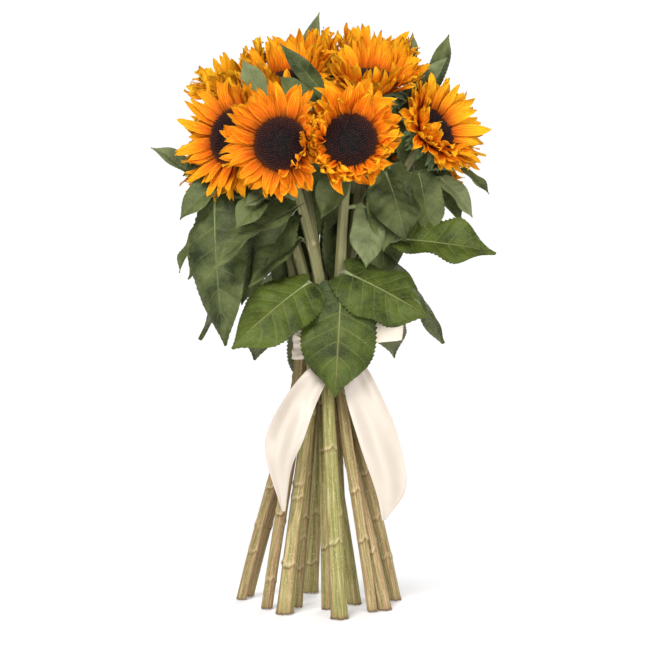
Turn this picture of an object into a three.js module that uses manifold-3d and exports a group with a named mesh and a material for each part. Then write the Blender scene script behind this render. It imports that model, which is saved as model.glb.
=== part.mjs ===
// A hand-tied bunch of fourteen sunflowers that stands on its cut stems.
// Millimetres, +Z up. The origin lies on the floor under the middle of the bunch,
// and the front of the bunch faces -Y.

import * as THREE from 'three';
import Module from 'manifold-3d';

const wasm = await Module();
wasm.setup();

// Driving dimensions of the tie
const TIE_HEIGHT = 262;
const OUTER_RING = 21.8;
const INNER_RING = 8.6;
const BAND_RADIUS = 28.15;
const BAND_HALF_HEIGHT = 13;
const BAND_FLARE = 2;
const RIBBON_THICKNESS = 0.8;
const BAND_SIDES = 20;

// Driving dimensions of the stems
const WAIST_RADIUS = 5.65;
const NECK_RADIUS = 4.6;
const STEM_SIDES = 7;
const LEG_STEPS = 3;
const RISE_STEPS = 6;
const CLEARANCE = 0.35;

// How the stems bend: the share of a leg that keeps to its straight line, the lengths of the
// curve's handles under and over the tie, and the handle that turns the neck into the head
const LEG_STRAIGHT = 0.45;
const HANDLE_UNDER_TIE = 60;
const HANDLE_OVER_TIE = 70;
const NECK_REACH = 46;
const NECK_SAG = 0.5;
const NECK_SEAT = 4;

// Driving dimensions of a flower head, in its own frame: the head faces +Z there
const RING_HALF = 0.7;
const RING_SEAT = 0.3;
const RING_DEPTH = 6;
const RECEPTACLE_DEPTH = 17;
const BRACT_COUNT = 9;
const BRACT_LENGTH = 7;
const BRACT_NOTCH = { out: 0.5, drop: 1.2 };
const BRACT_TIP_DROP = 3.6;
const BELLY = { share: 0.84, depth: 0.5 };
const NECK = { share: 0.42, depth: 0.84 };
const DISC_SIDES = 12;
const DISC_RIM = 3.6;
const DISC_CROWN = 7;
const FLORET_RELIEF = 0.9;
const FLORET_ROWS = [1, 0.7, 0.36];

// Driving dimensions of the petals
const PETALS_PER_LAYER = 12;
const PETAL_WIDTH = 17;
const PETAL_RIB = 1.4;
const FRONT_LIFT = 24;
const FRONT_LIFT_SPREAD = 10;
const BACK_LIFT = 3;
const BACK_LIFT_SPREAD = 5;
const CURL_SPREAD = 12;
const LENGTH_DRAW = { least: 0.88, spread: 0.2 };
const WIDTH_DRAW = { least: 0.9, spread: 0.15 };
const PITCH_SHARE = 0.46;
const LAYER_STEP = 10;
const LEAST_LIFT = -14;
const MAX_LIFT = 78;
const ROOT_STEP = 1.6;
const ROOT_BOW = 0.5;
const PETAL_CUP = 0.12;
const FULL_DEPTH_LENGTH = 30;
const LEAST_DEPTH = 0.45;
const HEAD_GAP = 0.6;
const HEAD_MIDDLE = 2;
const SHORTEST_PETAL = 10;

// How a petal looks for room: the steps of bend and length that it tries, the least share of
// its length, the change of bend that costs 1, and what the loss of all its length costs
const LIFT_SEARCH = 4;
const LENGTH_SEARCH = 0.08;
const LEAST_SHARE = 0.25;
const LIFT_PER_COST = 30;
const LENGTH_COST = 2.2;

// Driving dimensions of the leaves
const LEAF_THICKNESS = 0.9;
const PETIOLE_RADIUS = 2.1;
const PETIOLE_SIDES = 4;
const PETIOLE_TURN = { share: 0.55, rise: 0.12 };
const PETIOLE_TAPER = { base: 0.7, end: 0.4, reach: 0.14 };
const MIDRIB_BEND = 0.45;
const USUAL_ARCH = 4;
const USUAL_FOLD = 10;
const WIDEST_POWER = 0.8;
const FULLNESS_POWER = 0.8;
const TOOTH_SHARE = 0.86;
const LOBE_REACH = 0.27;
const LOBE_POWER = 3;
const LEAF_ROOM = 0.5;
const LEAF_MARGIN = 3;
const STALK_BALLS = 4;
const BLADE_BALLS = 8;
const TWIG_RADIUS = 1.6;
const TWIG_SIDES = 3;
const UPPER_STEPS = 4;
const COLLAR_STEPS = 7;

const LEAF_GREEN = { color: 0x4d6b2c, roughness: 0.62, metalness: 0 };
const STEM_GREEN = { color: 0x97a05a, roughness: 0.7, metalness: 0 };
const PETAL_ORANGE = { color: 0xf7930f, roughness: 0.6, metalness: 0 };
const DISC_BROWN = { color: 0x2b1b18, roughness: 0.9, metalness: 0 };
const RIBBON_CREAM = { color: 0xf6ecdd, roughness: 0.35, metalness: 0 };

// Every flower: where its head is, where it turns (degrees to +X from the front), how far it
// lifts above level, its disc radius and petal length, its cut end on the floor, that end's
// radius, and its place in the tie (degrees, outer or inner ring).
const FLOWERS = [
  {
    head: [-86, -38, 464], turn: -38, lift: 5, disc: 27.5, petal: 36,
    foot: [-37, -46], cut: 8.6, slot: 244, ring: 'outer',
  },
  {
    head: [-39, -85, 452], turn: -8, lift: 3, disc: 25.5, petal: 38,
    foot: [16, -72], cut: 8.4, slot: 280, ring: 'outer',
  },
  {
    head: [26, -80, 455], turn: 3, lift: 5, disc: 26.5, petal: 30,
    foot: [49, -35], cut: 4.8, slot: 316, ring: 'outer',
  },
  {
    head: [112, -12, 474], turn: 42, lift: 22, disc: 25, petal: 36,
    foot: [57, 62], cut: 5.5, slot: 28, ring: 'outer',
  },
  {
    head: [48, -10, 520], turn: 5, lift: 55, disc: 26, petal: 38,
    foot: [74, 32], cut: 6.2, slot: 352, ring: 'outer',
  },
  {
    head: [51, 56, 548], turn: 12, lift: 58, disc: 26, petal: 38,
    foot: [61, -25], cut: 7, slot: 0, ring: 'inner',
  },
  {
    head: [-35, -10, 519], turn: -18, lift: 55, disc: 25, petal: 36,
    foot: [4, -21.5], cut: 4.8, slot: 275, ring: 'inner',
  },
  {
    head: [-87, 43, 524], turn: -55, lift: 55, disc: 26, petal: 36,
    foot: [-83, 36], cut: 5, slot: 172, ring: 'outer',
  },
  {
    head: [-17, 48, 545], turn: -20, lift: 62, disc: 25, petal: 36,
    foot: [-25, -11], cut: 4.8, slot: 190, ring: 'inner',
  },
  {
    head: [13, 92, 522], turn: 175, lift: 55, disc: 25, petal: 36,
    foot: [32, 7], cut: 7, slot: 106, ring: 'inner',
  },
  {
    head: [106, 64, 468], turn: 112, lift: 18, disc: 26, petal: 36,
    foot: [22, 45], cut: 5.5, slot: 59, ring: 'outer',
  },
  {
    head: [48, 102, 460], turn: 155, lift: 12, disc: 25.5, petal: 36,
    foot: [-12, 78], cut: 8, slot: 90, ring: 'outer',
  },
  {
    head: [-38, 104, 466], turn: 195, lift: 12, disc: 26, petal: 36,
    foot: [-76, 56], cut: 4.6, slot: 136, ring: 'outer',
  },
  {
    head: [-101, 56, 456], turn: 245, lift: 14, disc: 25, petal: 36,
    foot: [-55, -18], cut: 5.4, slot: 208, ring: 'outer',
  },
];

// Large leaves of the collar: the flower whose stem carries it, the height of its joint there,
// the blade's base and tip, the way its upper face looks, its width, how far the midrib arches
// and how far the halves fold up.
const COLLAR = [
  {
    flower: 2, joint: 300, base: [-13, -46, 322], tip: [-87, -78, 259],
    face: [-0.2, -0.8, 0.5], width: 70, arch: 8, fold: -14,
  },
  {
    flower: 3, joint: 306, base: [18, -50.5, 313], tip: [12, -70, 211],
    face: [0, -1, 0.2], width: 76, arch: 10, fold: -8,
  },
  {
    flower: 3, joint: 330, base: [24, -44, 331], tip: [101, -66, 289],
    face: [0.2, -0.8, 0.5], width: 74, arch: 7, fold: -12,
  },
  {
    flower: 5, joint: 350, base: [79, -18, 365], tip: [171, -28, 352],
    face: [0.1, -0.75, 0.62], width: 58, arch: 6, fold: 16,
  },
  {
    flower: 5, joint: 425, base: [62, -26, 430], tip: [82, -42, 362],
    face: [0.3, -0.9, 0.3], width: 54, arch: 8, fold: -8,
  },
  {
    flower: 1, joint: 380, base: [-26, -50, 394], tip: [-105, -80, 335],
    face: [-0.3, -0.5, 0.8], width: 50, arch: 8, fold: 22,
  },
  {
    flower: 1, joint: 400, base: [-106, -26, 405], tip: [-95, -52, 260],
    face: [-0.4, -0.9, 0.1], width: 62, arch: 12, fold: -10,
  },
  {
    flower: 3, joint: 395, base: [45, -32, 396], tip: [43, -42, 336],
    face: [0.3, -0.9, 0.1], width: 36, arch: 5, fold: -6,
  },
  {
    flower: 4, joint: 345, base: [66, 30, 352], tip: [126, 44, 262],
    face: [0.85, 0.2, 0.45], width: 62, arch: 10, fold: -10,
  },
  {
    flower: 11, joint: 330, base: [44, 58, 338], tip: [78, 112, 246],
    face: [0.45, 0.75, 0.4], width: 66, arch: 10, fold: -12,
  },
  {
    flower: 12, joint: 345, base: [4, 66, 350], tip: [10, 122, 262],
    face: [0, 0.85, 0.5], width: 68, arch: 10, fold: -10,
  },
  {
    flower: 13, joint: 325, base: [-42, 56, 333], tip: [-74, 108, 244],
    face: [-0.4, 0.75, 0.45], width: 66, arch: 10, fold: -12,
  },
  {
    flower: 14, joint: 345, base: [-66, 24, 352], tip: [-128, 44, 266],
    face: [-0.85, 0.2, 0.45], width: 64, arch: 10, fold: -10,
  },
  {
    flower: 12, joint: 300, base: [-6, 44, 296], tip: [-10, 74, 206],
    face: [0, 0.95, 0.25], width: 60, arch: 8, fold: -8,
  },
];

// Small upper leaves, each grown in one piece with its flower's stem.
const UPPER_LEAVES = [
  {
    flower: 1, joint: 428, base: [-107, -4, 415], tip: [-140, -20, 397],
    face: [-0.3, -0.3, 0.9], width: 26,
  },
  {
    flower: 14, joint: 420, base: [-130, 18, 432], tip: [-172, 5, 459],
    face: [-0.2, -0.7, 0.7], width: 24,
  },
  {
    flower: 14, joint: 395, base: [-118, 12, 382], tip: [-144, 2, 333],
    face: [-0.9, -0.4, 0.2], width: 28,
  },
  {
    flower: 2, joint: 405, base: [-44, -62, 404], tip: [-76, -74, 394],
    face: [-0.1, -0.6, 0.8], width: 24,
  },
  {
    flower: 7, joint: 350, base: [-22, -32, 366], tip: [-72, -48, 318],
    face: [-0.3, -0.7, 0.6], width: 38,
  },
  {
    flower: 9, joint: 480, base: [-28, 86, 532], tip: [-3, 88, 611],
    face: [0.1, -1, 0.1], width: 22,
  },
  {
    flower: 5, joint: 455, base: [8, -32, 500], tip: [-42, -38, 556],
    face: [-0.1, -1, 0.1], width: 32,
  },
  {
    flower: 7, joint: 460, base: [-54, -46, 486], tip: [-78, -38, 541],
    face: [0, -1, 0.2], width: 28,
  },
  {
    flower: 2, joint: 425, base: [-8, -48, 486], tip: [-42, -44, 523],
    face: [0.1, -1, 0.3], width: 26,
  },
  {
    flower: 6, joint: 505, base: [88, 78, 540], tip: [95, 80, 588],
    face: [0.3, -1, 0.1], width: 16,
  },
  {
    flower: 4, joint: 440, base: [108, 30, 515], tip: [129, 28, 577],
    face: [0.1, -1, 0.1], width: 22,
  },
  {
    flower: 5, joint: 470, base: [84, 6, 505], tip: [126, 8, 550],
    face: [-0.2, -1, 0.2], width: 20,
  },
  {
    flower: 4, joint: 430, base: [136, 2, 436], tip: [166, -10, 411],
    face: [0.6, -0.6, 0.4], width: 18,
  },
  {
    flower: 4, joint: 415, base: [118, 2, 428], tip: [150, -4, 388],
    face: [0.4, -0.8, 0.4], width: 26,
  },
  {
    flower: 11, joint: 405, base: [86, 14, 421], tip: [110, 2, 394],
    face: [0.3, -0.8, 0.4], width: 24,
  },
  {
    flower: 12, joint: 410, base: [56, 84, 406], tip: [78, 118, 372],
    face: [0.4, 0.7, 0.5], width: 32,
  },
  {
    flower: 13, joint: 410, base: [-44, 86, 408], tip: [-62, 120, 370],
    face: [-0.3, 0.8, 0.5], width: 32,
  },
  {
    flower: 10, joint: 470, base: [54, 86, 524], tip: [66, 104, 574],
    face: [0.4, 0.9, 0.2], width: 22,
  },
];

// The bow, from the end of the left loop through the knot to the end of the right loop:
// the middle of each section, its half height and its half depth.
const BOW_SIDES = 8;
const BOW = [
  { at: [-42, -39, 280], high: 13, deep: 5 },
  { at: [-24, -38, 277], high: 15, deep: 7 },
  { at: [-4, -38, 269], high: 10, deep: 6 },
  { at: [5, -36.5, 264], high: 7, deep: 6 },
  { at: [9, -36, 263], high: 11, deep: 8 },
  { at: [20, -34.5, 263], high: 11, deep: 8 },
  { at: [24, -35, 264], high: 7, deep: 6 },
  { at: [34, -38, 269], high: 10, deep: 6 },
  { at: [56, -40, 279], high: 15, deep: 7 },
  { at: [76, -42, 282], high: 13, deep: 5 },
];

// The two tails: how far forward each row lies, and its left and right edge points [x, z].
const TAIL_BULGE = 2;
const LEFT_TAIL = [
  { y: -37, left: [3, 252.1], right: [17, 252.1] },
  { y: -46, left: [-16, 236], right: [6, 230] },
  { y: -50, left: [-36, 211], right: [-7, 202] },
  { y: -55, left: [-53, 178], right: [-19, 168] },
  { y: -58, left: [-54, 150], right: [-30, 142] },
  { y: -59, left: [-39, 101], right: [-36, 101] },
];
const RIGHT_TAIL = [
  { y: -34.4, left: [13, 251.6], right: [26, 251.6] },
  { y: -44, left: [19, 232], right: [43, 239] },
  { y: -46, left: [24, 205], right: [60, 206] },
  { y: -48, left: [37, 162], right: [74, 170] },
  { y: -48, left: [52, 118], right: [81, 124] },
  { y: -48, left: [58, 91], right: [61, 91] },
];

const UP = new THREE.Vector3(0, 0, 1);
const vec = (p) => new THREE.Vector3(p[0], p[1], p[2]);
const radians = THREE.MathUtils.degToRad;

// One seeded stream of draws, so that the bunch is the same each time.
function seeded(seed) {
  let state = seed;
  return () => {
    state = (state * 1664525 + 1013904223) % 4294967296;
    return state / 4294967296;
  };
}

// A solid is a list of points and a list of triangles that face out.
class Shell {
  constructor() {
    this.points = [];
    this.faces = [];
  }

  point(x, y, z) {
    this.points.push(new THREE.Vector3(x, y, z));
    return this.points.length - 1;
  }

  add(p) {
    return this.point(p.x, p.y, p.z);
  }

  face(a, b, c) {
    this.faces.push([a, b, c]);
  }

  quad(a, b, c, d) {
    this.face(a, b, c);
    this.face(a, c, d);
  }

  // A strip between two closed rings of the same length.
  strip(lower, upper) {
    const count = lower.length;
    for (let i = 0; i < count; i += 1) {
      const next = (i + 1) % count;
      this.quad(lower[i], lower[next], upper[next], upper[i]);
    }
  }

  // A fan that closes a ring round a middle point.
  fan(middle, ring) {
    const count = ring.length;
    for (let i = 0; i < count; i += 1) {
      this.face(middle, ring[i], ring[(i + 1) % count]);
    }
  }

  moved(matrix) {
    const copy = new Shell();
    copy.points = this.points.map((p) => p.clone().applyMatrix4(matrix));
    copy.faces = this.faces;
    return copy;
  }

  solid() {
    const vertProperties = new Float32Array(this.points.length * 3);
    this.points.forEach((p, i) => p.toArray(vertProperties, i * 3));
    const triVerts = new Uint32Array(this.faces.flat());
    return new wasm.Manifold(new wasm.Mesh({ numProp: 3, vertProperties, triVerts }));
  }

  geometry() {
    const positions = new Float32Array(this.points.length * 3);
    this.points.forEach((p, i) => p.toArray(positions, i * 3));
    return indexed(positions, this.faces.flat());
  }
}

function indexed(positions, triangles) {
  const geometry = new THREE.BufferGeometry();
  geometry.setAttribute('position', new THREE.BufferAttribute(positions, 3));
  geometry.setIndex([...triangles]);
  geometry.computeVertexNormals();
  return geometry;
}

function fromSolid(solid) {
  const mesh = solid.getMesh();
  return indexed(new Float32Array(mesh.vertProperties), mesh.triVerts);
}

// The frame of a flower head: +Z is the way it faces, +Y is up along the head.
function headFrame(flower) {
  const turn = radians(flower.turn);
  const lift = radians(flower.lift);
  const facing = new THREE.Vector3(
    Math.sin(turn) * Math.cos(lift),
    -Math.cos(turn) * Math.cos(lift),
    Math.sin(lift),
  );
  const across = new THREE.Vector3().crossVectors(UP, facing).normalize();
  const along = new THREE.Vector3().crossVectors(facing, across);
  const matrix = new THREE.Matrix4().makeBasis(across, along, facing).setPosition(vec(flower.head));
  return { matrix, facing };
}

// The middle line of a stem: a nearly straight leg up to the tie, then a rise that bends
// into the back of its head.
function stemLine(flower) {
  const angle = radians(flower.slot);
  const ring = flower.ring === 'outer' ? OUTER_RING : INNER_RING;
  const foot = new THREE.Vector3(flower.foot[0], flower.foot[1], 0);
  const waist = new THREE.Vector3(Math.cos(angle) * ring, Math.sin(angle) * ring, TIE_HEIGHT);
  const { facing } = headFrame(flower);
  const back = vec(flower.head).addScaledVector(facing, NECK_SEAT - RECEPTACLE_DEPTH);
  const leg = new THREE.CubicBezierCurve3(
    foot,
    foot.clone().lerp(waist, LEG_STRAIGHT),
    waist.clone().addScaledVector(UP, -HANDLE_UNDER_TIE),
    waist,
  );
  const rise = new THREE.CubicBezierCurve3(
    waist,
    waist.clone().addScaledVector(UP, HANDLE_OVER_TIE),
    back.clone().addScaledVector(facing, -NECK_REACH).addScaledVector(UP, -NECK_REACH * NECK_SAG),
    back,
  );
  return { leg, rise, foot };
}

function stemPoints(flower) {
  const { leg, rise } = stemLine(flower);
  const { lerp } = THREE.MathUtils;
  const points = [];
  for (let i = 0; i <= LEG_STEPS; i += 1) {
    const t = i / LEG_STEPS;
    const radius = lerp(flower.cut, WAIST_RADIUS, Math.sqrt(t));
    points.push({ at: leg.getPoint(t), along: leg.getTangent(t), radius });
  }
  for (let i = 1; i <= RISE_STEPS; i += 1) {
    const t = i / RISE_STEPS;
    const radius = lerp(WAIST_RADIUS, NECK_RADIUS, t);
    points.push({ at: rise.getPoint(t), along: rise.getTangent(t), radius });
  }
  return points;
}

// A closed tube along a list of points, with the same side turned the same way all along.
function tube(points, sides, extra = 0) {
  const shell = new Shell();
  let side = new THREE.Vector3(1, 0, 0);
  let previous = null;
  points.forEach(({ at, along, radius }) => {
    side = side.clone().addScaledVector(along, -side.dot(along)).normalize();
    const other = new THREE.Vector3().crossVectors(along, side);
    const ring = [];
    for (let i = 0; i < sides; i += 1) {
      const angle = (2 * Math.PI * i) / sides;
      const p = at.clone();
      p.addScaledVector(side, Math.cos(angle) * (radius + extra));
      p.addScaledVector(other, Math.sin(angle) * (radius + extra));
      ring.push(p);
    }
    if (previous === null && at.z === 0) {
      ring.forEach((p) => p.addScaledVector(along, -p.z / along.z).setZ(0));
    }
    const indices = ring.map((p) => shell.add(p));
    if (previous === null) {
      shell.fan(shell.add(at), [...indices].reverse());
    } else {
      shell.strip(previous, indices);
    }
    previous = indices;
  });
  shell.fan(shell.add(points[points.length - 1].at), previous);
  return shell;
}

function ringOf(shell, count, radius, z, phase = 0) {
  const ring = [];
  for (let i = 0; i < count; i += 1) {
    const angle = (2 * Math.PI * (i + phase)) / count;
    ring.push(shell.point(Math.cos(angle) * radius, Math.sin(angle) * radius, z));
  }
  return ring;
}

// The green back of a head, with a ring of pointed bracts, in the head's frame.
function receptacle(flower) {
  const shell = new Shell();
  const seat = -RING_HALF - RING_SEAT;
  const middle = shell.point(0, 0, seat);
  const top = ringOf(shell, BRACT_COUNT, flower.disc - 1, seat);
  const spiky = [];
  for (let i = 0; i < 2 * BRACT_COUNT; i += 1) {
    const tip = i % 2 === 1;
    const radius = flower.disc + (tip ? BRACT_LENGTH : BRACT_NOTCH.out);
    const z = seat - (tip ? BRACT_TIP_DROP : BRACT_NOTCH.drop);
    const angle = (Math.PI * i) / BRACT_COUNT;
    spiky.push(shell.point(Math.cos(angle) * radius, Math.sin(angle) * radius, z));
  }
  const belly = ringOf(shell, BRACT_COUNT, flower.disc * BELLY.share, -RECEPTACLE_DEPTH * BELLY.depth);
  const neck = ringOf(shell, BRACT_COUNT, flower.disc * NECK.share, -RECEPTACLE_DEPTH * NECK.depth);
  const back = shell.point(0, 0, -RECEPTACLE_DEPTH);
  shell.fan(middle, top);
  for (let i = 0; i < BRACT_COUNT; i += 1) {
    const next = (i + 1) % BRACT_COUNT;
    const notch = spiky[2 * i];
    const tip = spiky[2 * i + 1];
    const nextNotch = spiky[2 * next];
    shell.face(top[i], notch, tip);
    shell.face(top[i], tip, top[next]);
    shell.face(top[next], tip, nextNotch);
    shell.face(belly[i], tip, notch);
    shell.face(belly[i], belly[next], tip);
    shell.face(belly[next], nextNotch, tip);
  }
  shell.strip(neck, belly);
  shell.fan(back, [...neck].reverse());
  return shell;
}

// The dark disc of florets: a plug that sits in the petal ring, a rim and a domed face whose
// florets stand out in crossing spirals.
function disc(flower) {
  const shell = new Shell();
  const hole = (flower.disc - RING_DEPTH) * Math.cos(Math.PI / PETALS_PER_LAYER) - RING_SEAT;
  const bottom = ringOf(shell, DISC_SIDES, hole, -RING_HALF);
  const shoulder = ringOf(shell, DISC_SIDES, hole, RING_HALF + RING_SEAT);
  const flange = ringOf(shell, DISC_SIDES, flower.disc, RING_HALF + RING_SEAT);
  shell.fan(shell.point(0, 0, -RING_HALF), [...bottom].reverse());
  shell.strip(bottom, shoulder);
  shell.strip(shoulder, flange);
  let previous = flange;
  FLORET_ROWS.forEach((share, row) => {
    const ring = [];
    for (let i = 0; i < DISC_SIDES; i += 1) {
      const angle = (2 * Math.PI * (i + row * 0.5)) / DISC_SIDES;
      const bump = row > 0 && (i + row) % 2 === 0 ? FLORET_RELIEF : -FLORET_RELIEF;
      const dome = DISC_RIM + (DISC_CROWN - DISC_RIM) * (1 - share * share);
      const radius = flower.disc * share;
      ring.push(shell.point(Math.cos(angle) * radius, Math.sin(angle) * radius, dome + bump));
    }
    shell.strip(previous, ring);
    previous = ring;
  });
  shell.fan(shell.point(0, 0, DISC_CROWN), previous);
  return shell;
}

// The planes that keep the petals of one head clear of the other heads. Each plane stands
// halfway between two heads, in this head's own frame.
function roomAround(index) {
  const own = headFrame(FLOWERS[index]);
  const inverse = own.matrix.clone().invert();
  const middle = (flower) => vec(flower.head).addScaledVector(headFrame(flower).facing, HEAD_MIDDLE);
  const planes = [];
  FLOWERS.forEach((other, i) => {
    if (i === index) {
      return;
    }
    const here = middle(FLOWERS[index]);
    const there = middle(other);
    const normal = there.clone().sub(here).normalize();
    const turned = leaning(index, i, normal);
    const point = here.clone().lerp(there, 0.5);
    point.addScaledVector(turned, -HEAD_GAP);
    point.applyMatrix4(inverse);
    const local = turned.clone().transformDirection(inverse);
    planes.push({ normal: local, offset: local.dot(point) });
  });
  return planes;
}

// Where one head hangs in front of its neighbour, the plane between them leans so that the
// front head's petals lie over the other's disc.
const OVERLAPS = [{ front: 1, behind: 0, lean: [0, -1, 0], share: 0.9 }];

function leaning(index, other, normal) {
  const pair = OVERLAPS.find(
    (o) => (o.front === index && o.behind === other) || (o.front === other && o.behind === index),
  );
  if (!pair) {
    return normal;
  }
  const sign = pair.front === index ? -1 : 1;
  return normal.clone().addScaledVector(vec(pair.lean), sign * pair.share).normalize();
}

// The points of one petal: its middle line leaves the ring at the given lift and curls on.
// A front petal has one more row of points than a back one.
const FRONT_ROWS = [
  { t: 0.4, share: 0.5, rib: 1 },
  { t: 0.74, share: 0.4, rib: 0.8 },
  { t: 1, share: 0, rib: 0 },
];
const BACK_ROWS = [
  { t: 0.55, share: 0.5, rib: 1 },
  { t: 1, share: 0, rib: 0 },
];

function petalShape(flower, angle, { front, lift, curl, length, width }) {
  const out = new THREE.Vector3(Math.cos(angle), Math.sin(angle), 0);
  const across = new THREE.Vector3(-Math.sin(angle), Math.cos(angle), 0);
  const depth = Math.max(LEAST_DEPTH, Math.min(1, length / FULL_DEPTH_LENGTH));
  let radius = flower.disc + ROOT_STEP;
  let height = 0;
  let before = 0;
  return (front ? FRONT_ROWS : BACK_ROWS).map(({ t, share, rib }) => {
    const bend = radians(lift + curl * (t + before) * 0.5);
    radius += Math.cos(bend) * (t - before) * length;
    height += Math.sin(bend) * (t - before) * length;
    before = t;
    const pitch = (2 * Math.PI * radius) / PETALS_PER_LAYER;
    const half = Math.min(width * share, pitch * PITCH_SHARE);
    const middle = out.clone().multiplyScalar(radius).setZ(height);
    const normal = out.clone().multiplyScalar(-Math.sin(bend)).setZ(Math.cos(bend));
    const cup = half * PETAL_CUP * depth;
    const ridge = rib * PETAL_RIB * 0.5 * depth;
    return {
      left: middle.clone().addScaledVector(across, -half).addScaledVector(normal, cup),
      right: middle.clone().addScaledVector(across, half).addScaledVector(normal, cup),
      top: middle.clone().addScaledVector(normal, ridge),
      bottom: middle.clone().addScaledVector(normal, -ridge),
      middle,
    };
  });
}

// The upper leaves and their stalks as rows of balls, which the petals stay clear of.
function leafBalls(inverse) {
  const balls = [];
  UPPER_LEAVES.forEach((leaf) => {
    const joint = stemAt(FLOWERS[leaf.flower - 1], leaf.joint);
    const base = vec(leaf.base);
    const midrib = midribOf(leaf);
    for (let i = 1; i <= STALK_BALLS; i += 1) {
      balls.push({ at: joint.clone().lerp(base, i / STALK_BALLS), radius: TWIG_RADIUS + LEAF_MARGIN });
    }
    for (let i = 1; i <= BLADE_BALLS; i += 1) {
      const t = i / BLADE_BALLS;
      const radius = LEAF_MARGIN + leaf.width * LEAF_ROOM * bladeProfile(t);
      balls.push({ at: midrib.getPoint(t), radius });
    }
  });
  balls.forEach((ball) => ball.at.applyMatrix4(inverse));
  return balls;
}

function fits(root, shape, planes, balls) {
  const samples = [];
  let before = { left: root, right: root, middle: root };
  shape.forEach((level) => {
    ['left', 'right', 'middle'].forEach((side) => {
      samples.push(level[side], level[side].clone().lerp(before[side], 0.5));
    });
    before = level;
  });
  return samples.every(
    (p) =>
      planes.every(({ normal, offset }) => normal.dot(p) <= offset) &&
      balls.every(({ at, radius }) => at.distanceTo(p) > radius),
  );
}

// A petal takes the least change of bend and length that clears the other heads and leaves.
function clearPetal(flower, room, angle, wanted, least, most) {
  let best = null;
  const root = new THREE.Vector3(Math.cos(angle), Math.sin(angle), 0).multiplyScalar(flower.disc);
  for (let length = 1; length > LEAST_SHARE; length -= LENGTH_SEARCH) {
    for (let lift = least; lift <= most; lift += LIFT_SEARCH) {
      const cost = Math.abs(lift - wanted.lift) / LIFT_PER_COST + (1 - length) * LENGTH_COST;
      if (best === null || cost < best.cost) {
        const petal = { ...wanted, lift, length: wanted.length * length };
        if (fits(root, petalShape(flower, angle, petal), room.planes, room.balls)) {
          best = { cost, petal };
        }
      }
    }
  }
  return best ? best.petal : { ...wanted, lift: least, length: SHORTEST_PETAL };
}

// The petal ring: one body with a front and a back layer, set half a pitch apart.
function rays(index) {
  const flower = FLOWERS[index];
  const draw = seeded(97 + index * 31);
  const inverse = headFrame(flower).matrix.clone().invert();
  const room = { planes: roomAround(index), balls: leafBalls(inverse) };
  const total = 2 * PETALS_PER_LAYER;
  const angleOf = (i) => (2 * Math.PI * i) / total;
  const wish = (i) => {
    const front = i % 2 === 0;
    return {
      front,
      lift: front ? FRONT_LIFT + draw() * FRONT_LIFT_SPREAD : BACK_LIFT - draw() * BACK_LIFT_SPREAD,
      curl: (front ? CURL_SPREAD : -CURL_SPREAD) * draw(),
      length: flower.petal * (LENGTH_DRAW.least + draw() * LENGTH_DRAW.spread),
      width: PETAL_WIDTH * (WIDTH_DRAW.least + draw() * WIDTH_DRAW.spread),
    };
  };
  const petals = Array.from({ length: total }, (_, i) => wish(i));
  for (let i = 1; i < total; i += 2) {
    petals[i] = clearPetal(flower, room, angleOf(i), petals[i], LEAST_LIFT, MAX_LIFT - LAYER_STEP);
  }
  for (let i = 0; i < total; i += 2) {
    const behind = Math.max(petals[(i + total - 1) % total].lift, petals[i + 1].lift);
    petals[i] = clearPetal(flower, room, angleOf(i), petals[i], behind + LAYER_STEP, MAX_LIFT);
  }
  return petalRing(flower, petals, angleOf);
}

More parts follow.
